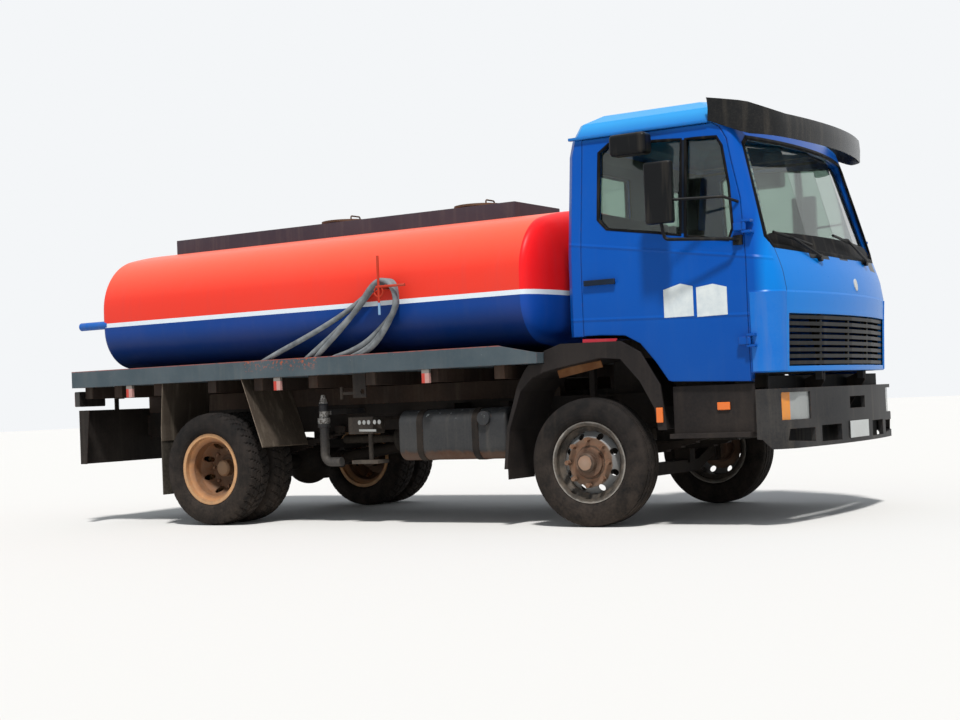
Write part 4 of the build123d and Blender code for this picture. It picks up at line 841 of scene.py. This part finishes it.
def backSpace(sign):  # y and z, laid on the cab's rear wall
    return lambda u, v, depth: (frontX - 0.11 - depth, sign * u, v)


def densified(outline, longest=0.09):
    dense = []
    for a, b in zip(outline, outline[1:] + outline[:1]):
        pieces = max(1, math.ceil(math.dist(a, b) / longest))
        dense += [(a[0] + (b[0] - a[0]) * i / pieces, a[1] + (b[1] - a[1]) * i / pieces) for i in range(pieces)]
    return dense


# A flat rubber ring along an outline
def sealRing(name, outline, toSpace, body, look=sealLook):
    line = densified(outline)
    middle = Vector([sum(p[i] for p in line) / len(line) for i in (0, 1)])
    proud = look["proud"]
    profile = ((look["outer"], -0.004), (look["outer"], proud * 0.5), (0.0, proud), (-look["inner"], proud * 0.5),
               (-look["inner"], -0.012))
    points, faces = [], []
    for i, here in enumerate(line):
        ahead = course(line[i - 1], line[(i + 1) % len(line)])
        out = Vector((ahead[1], -ahead[0]))
        if out.dot(Vector(here) - middle) < 0:
            out = -out
        points += [toSpace(here[0] + out[0] * width, here[1] + out[1] * width, depth) for width, depth in profile]
    rows, count = len(profile), len(line)
    for i in range(count):
        for j in range(rows):
            here, there = i * rows, (i + 1) % count * rows
            faces.append((here + j, here + (j + 1) % rows, there + (j + 1) % rows, there + j))
    settle(meshObject(name, points, faces, sealRubber), body, "guard_black")


for side, sign in sides:
    sealRing(f"rear_pane_seal_{side}", rearPane, doorSpace(sign), f"door_{side}_body")
    sealRing(f"front_pane_seal_{side}", frontPane, doorSpace(sign), f"door_{side}_body")
    sealRing(f"back_pane_seal_{side}", backPane, backSpace(sign), "cab")
sealRing("windscreen_seal", windscreen, skinSpace, "cab", dict(outer=0.018, inner=0.010, proud=0.006))

# The cab's front panel, pillars and header: one smooth pressed skin over the plain solid, cut as the solid is
frontLook = dict(low=0.951, high=2.531, rows=28, back=0.88, proud=0.0015, wall=0.012, cornerSteps=6, bowSteps=18,
                 grille=rectangle(-0.92, 0.92, 0.985, 1.31),
                 doorLine=((0.0, 1.236), (0.12, 1.236), (0.299, 1.225), (0.403, 1.169), (0.503, 1.049),
                           (0.587, 0.925), (0.612, 0.917), (1.144, 0.897), (1.146, 1.632), (1.139, 1.798),
                           (1.112, 2.037), (1.055, 2.27), (1.022, 2.42), (0.975, 2.5), (0.925, 2.532), (0.0, 2.532)))


def frontPath(z):
    half, sideEnd, corner, nose, edge = cabPlan(z)
    bowSteps, cornerSteps = frontLook["bowSteps"], frontLook["cornerSteps"]
    ys = [-edge + 2 * edge * i / bowSteps for i in range(bowSteps + 1)]
    run, rise = corner - sideEnd, half - edge
    turn = []
    for i in range(cornerSteps):
        t = i / cornerSteps
        swell = 4 * cornerSwell * t * (1 - t)
        turn.append((sideEnd + run * t + rise * swell, half - rise * t + run * swell))
    right = [(frontLook["back"], -half)] + [(x, -y) for x, y in turn]
    return right + [(skinX(y, z), y) for y in ys] + turn[::-1] + [(frontLook["back"], half)]


low, rise, rows = frontLook["low"], frontLook["high"] - frontLook["low"], frontLook["rows"]
frontSkin = planWall("front_skin", [low + rise * i / rows for i in range(rows + 1)], frontPath,
                     (-frontLook["proud"], frontLook["wall"]), cabPaint)
carve(frontSkin, [knife(windscreen, frontSpace, 0.85, 1.7), knife(frontLook["grille"], frontSpace, 1.1, 1.7),
                  knife(frontLook["doorLine"], sideSpace, -1.3, 1.3)])
settle(frontSkin, "cab", "cab_blue")

# Corner panels outboard of the front, in a lighter blue: a lit copy of the cab paint, painted light
cornerLook = dict(rear=1.16, levels=(0.958, 1.05, 1.14, 1.24, 1.34, 1.444), insets=(-0.0065, -0.001))
cornerLitPaint = weathered("cornerPanelLitPaint", dict(base="#0468c0", fade="#1c80d0", fadeShare=0.3, rough=0.3, gloss=0.2,
                                                 dustShare=0.1, rustEdge=0.2))


def cornerPath(sign):
    count = frontLook["cornerSteps"] + 2
    pick = slice(None, count) if sign < 0 else slice(-count, None)
    return lambda z: [(max(x, cornerLook["rear"]), y) for x, y in frontPath(z)][pick]


for side, sign in sides:
    panel = planWall(f"corner_panel_{side}", cornerLook["levels"], cornerPath(sign), cornerLook["insets"], cornerLitPaint)
    settle(carve(panel), "cab", "cab_blue")

# Sun visor: a smooth band of smoked acrylic. Low and high: z of its edges by x. Bulge: share of its height, dx.
visorLook = dict(plan=(1.385, (1.3, 0.7), (1.238, 0.866), (1.11, 0.998)), sideY=1.022, back=0.905, wall=0.006,
                 bracket=(1.0, 1.0185),
                 low=((0.9, 2.545), (1.141, 2.44), (1.3, 2.425), (1.45, 2.41)),
                 high=((0.9, 2.69), (1.152, 2.64), (1.3, 2.578), (1.45, 2.56)),
                 bulge=((0.0, 0.0), (0.12, 0.0), (0.5, 0.004), (0.88, 0.0), (1.0, -0.004)))


def edgeZ(stops, x):
    for (x0, z0), (x1, z1) in zip(stops, stops[1:]):
        if x <= x1:
            return z0 + (z1 - z0) * (x - x0) / (x1 - x0)
    return stops[-1][1]


path = wrapPlan(visorLook)
bracketX, bracketY = visorLook["bracket"]
path.insert(1, (bracketX, -bracketY))
path.insert(len(path) - 1, (bracketX, bracketY))
visorRows = [[[(x + lean, y, edgeZ(visorLook["low"], x) * (1 - share) + edgeZ(visorLook["high"], x) * share)
               for x, y in line] for share, lean in visorLook["bulge"]]
             for line in (path, insetPath(path, visorLook["wall"]))]
visorBand = bentWall("visor_band", *visorRows, parts["visor"].data.materials[0])
settle(carve(visorBand), "cab", "guard_black", "visor")

# Bumper: bowed steel with round corners and its openings; behind it a black lining and a black sheet, painted shade
# for what shows through the openings
bumperLook = dict(plan=(1.442, (1.374, 0.877), (1.322, 1.018), (1.225, 1.092)), sideY=1.098, back=1.17, wall=0.03,
                  levels=(0.48, 0.52, 0.8, 0.849), shadeLiningLevels=(0.484, 0.64), shadeLining=(0.1, 0.104),
                  shadeSheet=rectangle(-1.04, 1.04, 0.52, 0.93))
bumperPath = wrapPlan(bumperLook)
shell = planWall("bumper_shell", bumperLook["levels"], lambda z: bumperPath, (0.0, bumperLook["wall"]),
                 parts["bumper"].data.materials[0])
knives = [knife(rectangle(-0.15, 0.15, 0.702, 0.78), frontSpace, 1.35, 1.5)]
for s in (-1, 1):
    knives += [knife(rectangle(s * 0.75, s * 1.03, 0.655, 0.825), frontSpace, 1.2, 1.5),
               knife(rectangle(s * 0.31, s * 0.61, 0.505, 0.608), frontSpace, 1.3, 1.5),
               knife(((s * 0.7, 0.512), (s * 0.7, 0.6), (s * 0.985, 0.6), (s * 1.0, 0.53)), frontSpace, 1.26, 1.5),
               knife(((1.16, 0.4), (1.16, 0.545), (1.205, 0.54), (1.26, 0.479), (1.26, 0.4)), sideSpace,
                     *sorted((s * 1.0, s * 1.2)))]
settle(carve(shell, knives), "chassis", "bumper_grey", "bumper")
# black lining behind the lower openings: painted shade
settle(planWall("bumper_shade_lining", bumperLook["shadeLiningLevels"], lambda z: bumperPath, bumperLook["shadeLining"], sealRubber,
                trim=2), "chassis", "guard_black")
# black sheet behind the bumper: painted shade seen through its openings
settle(block("shadeSheet", bumperLook["shadeSheet"], frontSpace, (1.231, 1.236), sealRubber), "chassis", "guard_black")
print("front made")

# Wipers: arms and blades as round bars, at rest towards the truck's right; each (y, z) of spindle, elbow, blade ends
wiperLook = dict(rows=(((-0.45, 1.672), (-0.76, 1.786), (-0.52, 1.752), (-0.938, 1.816)),
                       ((0.47, 1.69), (0.1, 1.822), (0.34, 1.79), (-0.13, 1.838))),
                 spindle=0.024, arm=0.008, blade=0.0095, bladeSteps=8)
points, faces = [], []
for spindle, elbow, root, tip in wiperLook["rows"]:
    steps = wiperLook["bladeSteps"]
    blade = [(root[0] + (tip[0] - root[0]) * i / steps, root[1] + (tip[1] - root[1]) * i / steps)
             for i in range(steps + 1)]
    bar([skinSpace(*spindle, -0.01), skinSpace(*spindle, 0.03)], wiperLook["spindle"], points, faces)
    bar([skinSpace(*spindle, 0.02), skinSpace(spindle[0] - 0.02, spindle[1] + 0.008, 0.034),
         skinSpace(*elbow, 0.034)], wiperLook["arm"], points, faces)
    bar([skinSpace(*spot, 0.02) for spot in blade], wiperLook["blade"], points, faces)
    bar([skinSpace(*elbow, 0.034), skinSpace(*blade[5], 0.022)], wiperLook["arm"], points, faces)
wiperBars = meshObject("wiper_bars", points, faces, parts["wipers"].data.materials[0])
settle(wiperBars, "cab", "guard_black", "wipers")

# A blue tube that sticks out at the tank's tail on the right, and the ring round the hook
tubeLook = dict(ends=(-4.54, -4.24), y=-1.095, z=1.568, radius=0.032, sides=20)
tubePaint = weathered("tubePaint", dict(base="#0c56a8", fade="#2a74c0", rough=0.35, dustShare=0.1))
points, faces = [], []
bar([sideSpace(x, tubeLook["z"], tubeLook["y"]) for x in tubeLook["ends"]], tubeLook["radius"], points, faces,
    tubeLook["sides"])
settle(carve(meshObject("tail_tube", points, faces, tubePaint), sharpAngle=40), "chassis", "cab_blue")
ringLook = dict(x=-1.49, z=1.63, y=-1.268, radius=0.036, bar=0.006, steps=20)
ring = ellipse(ringLook["x"], ringLook["z"], ringLook["radius"], ringLook["radius"], ringLook["steps"])
points, faces = [], []
bar([sideSpace(x, z, ringLook["y"]) for x, z in ring + ring[:1]], ringLook["bar"], points, faces)
settle(meshObject("hook_ring", points, faces, parts["hose_hook"].data.materials[0]), "chassis", "tank_red")

# The black printed band along the windscreen's foot, where the blades park
bandLook = dict(half=0.98, steps=12, depths=(-0.016, -0.020), foot=1.705, footRise=0.03, footHalf=0.955, top=1.824,
                topFall=0.03, fallFrom=0.8)
rows = []
for i in range(-bandLook["steps"], bandLook["steps"] + 1):
    y = i * bandLook["half"] / bandLook["steps"]
    foot = bandLook["foot"] + bandLook["footRise"] * (y / bandLook["footHalf"]) ** 2
    past = max(0.0, (abs(y) - bandLook["fallFrom"]) / (bandLook["half"] - bandLook["fallFrom"]))
    rows.append(((y, foot), (y, bandLook["top"] - bandLook["topFall"] * past ** 2)))
settle(skinStrip("windscreen_band", rows, bandLook["depths"], sealRubber), "cab", "guard_black")
print("seals made")


# A box with rounded edges, from two corners whose x is from the front axle
def roundedBox(name, low, high, radius, material):
    shape = bmesh.new()
    bmesh.ops.create_cube(shape, size=1.0)
    low, high = Vector(low), Vector(high)
    for v in shape.verts:
        v.co = Vector([(v.co[i] + 0.5) * (high[i] - low[i]) + low[i] for i in range(3)]) + Vector((frontX, 0, 0))
    bmesh.ops.bevel(shape, geom=shape.edges[:], offset=radius, segments=3, profile=0.5, affect="EDGES")
    mesh = bpy.data.meshes.new(name)
    shape.to_mesh(mesh)
    shape.free()
    mesh.materials.append(material)
    return linked(name, mesh)


# Amber side lamps on the step panel and the mudguard (x, side distance, z), and two blank stickers on the right door
lampBoxes = (("step", (0.90, 0.985), (1.049, 1.062), (0.73, 0.779)),
             ("guard", (0.515, 0.56), (1.119, 1.134), (0.665, 0.76)))
amberLens = weathered("amberLens", dict(base="#e06a1c", fade="#f08a3a", rough=0.25, coat=0.6, dustShare=0.1))
stickerVinyl = weathered("stickerVinyl", dict(base="#d9dedc", fade="#c4cdd0", fadeShare=0.5, patchMm=60,
                                              dust="#8a9aa8", dustBase=0.15, rough=0.5))
for side, sign in sides:
    for label, xs, reach, zs in lampBoxes:
        ys = sorted(sign * y for y in reach)
        lamp = roundedBox(f"{label}_lamp_{side}", (xs[0], ys[0], zs[0]), (xs[1], ys[1], zs[1]), 0.005, amberLens)
        settle(lamp, "chassis", "lamp_red")
house = ((0.582, 1.323), (0.785, 1.323), (0.785, 1.51), (0.70, 1.532), (0.582, 1.50))
square = ((0.807, 1.315), (1.012, 1.318), (1.012, 1.49), (0.92, 1.515), (0.807, 1.50))
for label, outline in (("rear", house), ("front", square)):
    sticker = block(f"door_sticker_{label}", outline, doorSpace(-1), (0.0002, 0.0012), stickerVinyl)
    settle(sticker, "door_right_body", "plate_white")

# Mudguards: a rusty stay plate inside each, and a red strip along the sill above
stay = ((-0.257, 1.036), (-0.241, 0.976), (0.086, 1.036), (0.072, 1.080))
strip = ((0.004, 1.196), (0.246, 1.190), (0.256, 1.212), (0.006, 1.220))
rustyPlateSteel = weathered("rustyPlateSteel", dict(base="#6a4428", fade="#8a5c34", fadeShare=0.6, patchMm=60,
                                                    rustSpots=0.6, rough=0.8, dustShare=0.1))
redSill = weathered("redSillPaint", dict(base="#a3142a", fade="#c04050", rough=0.4, dustShare=0.2))
for side, sign in sides:
    settle(block(f"guard_stay_{side}", stay, sideSpace, (sign * 0.996, sign * 1.002), rustyPlateSteel), "chassis",
           "bracket_steel")
    settle(block(f"guard_strip_{side}", strip, sideSpace, (sign * 1.108, sign * 1.116), redSill), "chassis",
           "guard_black")

# Meter: five white dials and a pale bar on its face; a pale knob on the cab's front
meterLook = dict(face=(-0.9845, -0.9875), firstX=-1.905, step=0.0405, gap=0.012, z=0.728,
                 bar=((-1.91, 0.664), (-1.76, 0.660), (-1.76, 0.676), (-1.91, 0.680)))
paleDial = weathered("paleDial", dict(base="#c9cac6", fade="#a8a6a0", rough=0.4, dustShare=0.1))
for i in range(5):
    x = meterLook["firstX"] + meterLook["step"] * i + (meterLook["gap"] if i > 2 else 0.0)
    outline = ellipse(x, meterLook["z"], 0.014, 0.017, 10)
    dial = block(f"meter_dial_{i}", outline, sideSpace, meterLook["face"], paleDial)
    settle(dial, "chassis", "plate_white")
settle(block("meter_bar", meterLook["bar"], sideSpace, meterLook["face"], paleDial), "chassis", "plate_white")
knob = block("front_knob", ellipse(0.076, 1.516, 0.03, 0.04, 16), skinSpace, (-0.004, 0.008), paleDial)
settle(knob, "cab", "plate_white")

# Paper strips inside the windscreen by the right pillar
paperLook = dict(white="#dfe6ea", blue="#5f8fb8", stepMm=46, whiteShare=0.62, low=1.97, rise=0.1, rows=5, lean=0.13,
                 y=-0.905, wide=0.03, depths=(-0.045, -0.046))


def paperColour(at):
    wave = maths("FRACT", at.z / (paperLook["stepMm"] / 1000))
    return mixed(wave > paperLook["whiteShare"], paperLook["white"], paperLook["blue"])


paperStrip = weathered("paperStrip", dict(fadeShare=0.1, rough=0.7, dustShare=0.0), paperColour)
rows = []
for i in range(paperLook["rows"]):
    y, z = paperLook["y"] + i * paperLook["rise"] * paperLook["lean"], paperLook["low"] + i * paperLook["rise"]
    rows.append(((y, z), (y + paperLook["wide"], z)))
settle(skinStrip("pillar_paper", rows, paperLook["depths"], paperStrip), "cab", "plate_white")
print("lamps and stickers made")

# Stage: pale floor, soft light, and the photograph's camera
stageLook = dict(floor="#dcd9d4", half=80, sunStrength=3.6, sunWay=(0.33, -0.46, 1.0), sunWide=6, sky="#cfd8e2",
                 skyStrength=0.55, backdrop="#f4f6f8")
floorMaterial, floorTree, floorShader, _ = newMaterial("paleFloor")
fill(floorTree, floorShader, {"Base Color": linear(stageLook["floor"]), "Roughness": 0.9})
floorMesh = bpy.data.meshes.new("floor")
half = stageLook["half"]
floorMesh.from_pydata([(u, v, 0) for u, v in rectangle(-half, half, -half, half)], [], [(0, 1, 2, 3)])
floorMesh.materials.append(floorMaterial)
floor = linked("floor", floorMesh)

world = bpy.data.worlds.new("sky")
bpy.context.scene.world = world
world.use_nodes = True
sky = world.node_tree
rays = addNode(sky, "ShaderNodeLightPath").outputs
seen = maths("MAXIMUM", maths("MAXIMUM", Value(sky, rays["Is Camera Ray"]), rays["Is Glossy Ray"]),
             rays["Is Transmission Ray"])
dim = sky.nodes["Background"]
fill(sky, dim, {"Color": linear(stageLook["sky"]), "Strength": stageLook["skyStrength"]})
bright = addNode(sky, "ShaderNodeBackground", {"Color": linear(stageLook["backdrop"]), "Strength": 1.0})
both = addNode(sky, "ShaderNodeMixShader", {0: seen, 1: dim.outputs[0], 2: bright.outputs[0]})
fill(sky, sky.nodes["World Output"], {"Surface": both.outputs[0]})

sun = bpy.data.lights.new("sun", "SUN")
sun.energy = stageLook["sunStrength"]
sun.angle = math.radians(stageLook["sunWide"])
linked("sun", sun).rotation_euler = Vector(stageLook["sunWay"]).to_track_quat("Z", "Y").to_euler()

cameraLook = dict(place=(6.4035, -10.167, 0.854), azimuth=31.88, elevation=-1.45, roll=-2.36, lens=59.26)
azimuth, elevation, roll = (math.radians(cameraLook[key]) for key in ("azimuth", "elevation", "roll"))
back = Vector((math.sin(azimuth) * math.cos(elevation), -math.cos(azimuth) * math.cos(elevation),
               math.sin(elevation)))
right = (-back).cross(Vector((0, 0, 1))).normalized()
up = right.cross(-back)
turnedRight = math.cos(roll) * right + math.sin(roll) * up
turnedUp = -math.sin(roll) * right + math.cos(roll) * up
optics = bpy.data.cameras.new("camera")
optics.lens = cameraLook["lens"]
optics.sensor_width = 36.0
optics.clip_end = 300.0
camera = linked("camera", optics)
turned = Matrix((turnedRight, turnedUp, back)).transposed().to_4x4()
camera.matrix_world = Matrix.Translation(cameraLook["place"]) @ turned
bpy.context.scene.camera = camera
bpy.context.scene.view_settings.view_transform = "Standard"

print("scene ready")
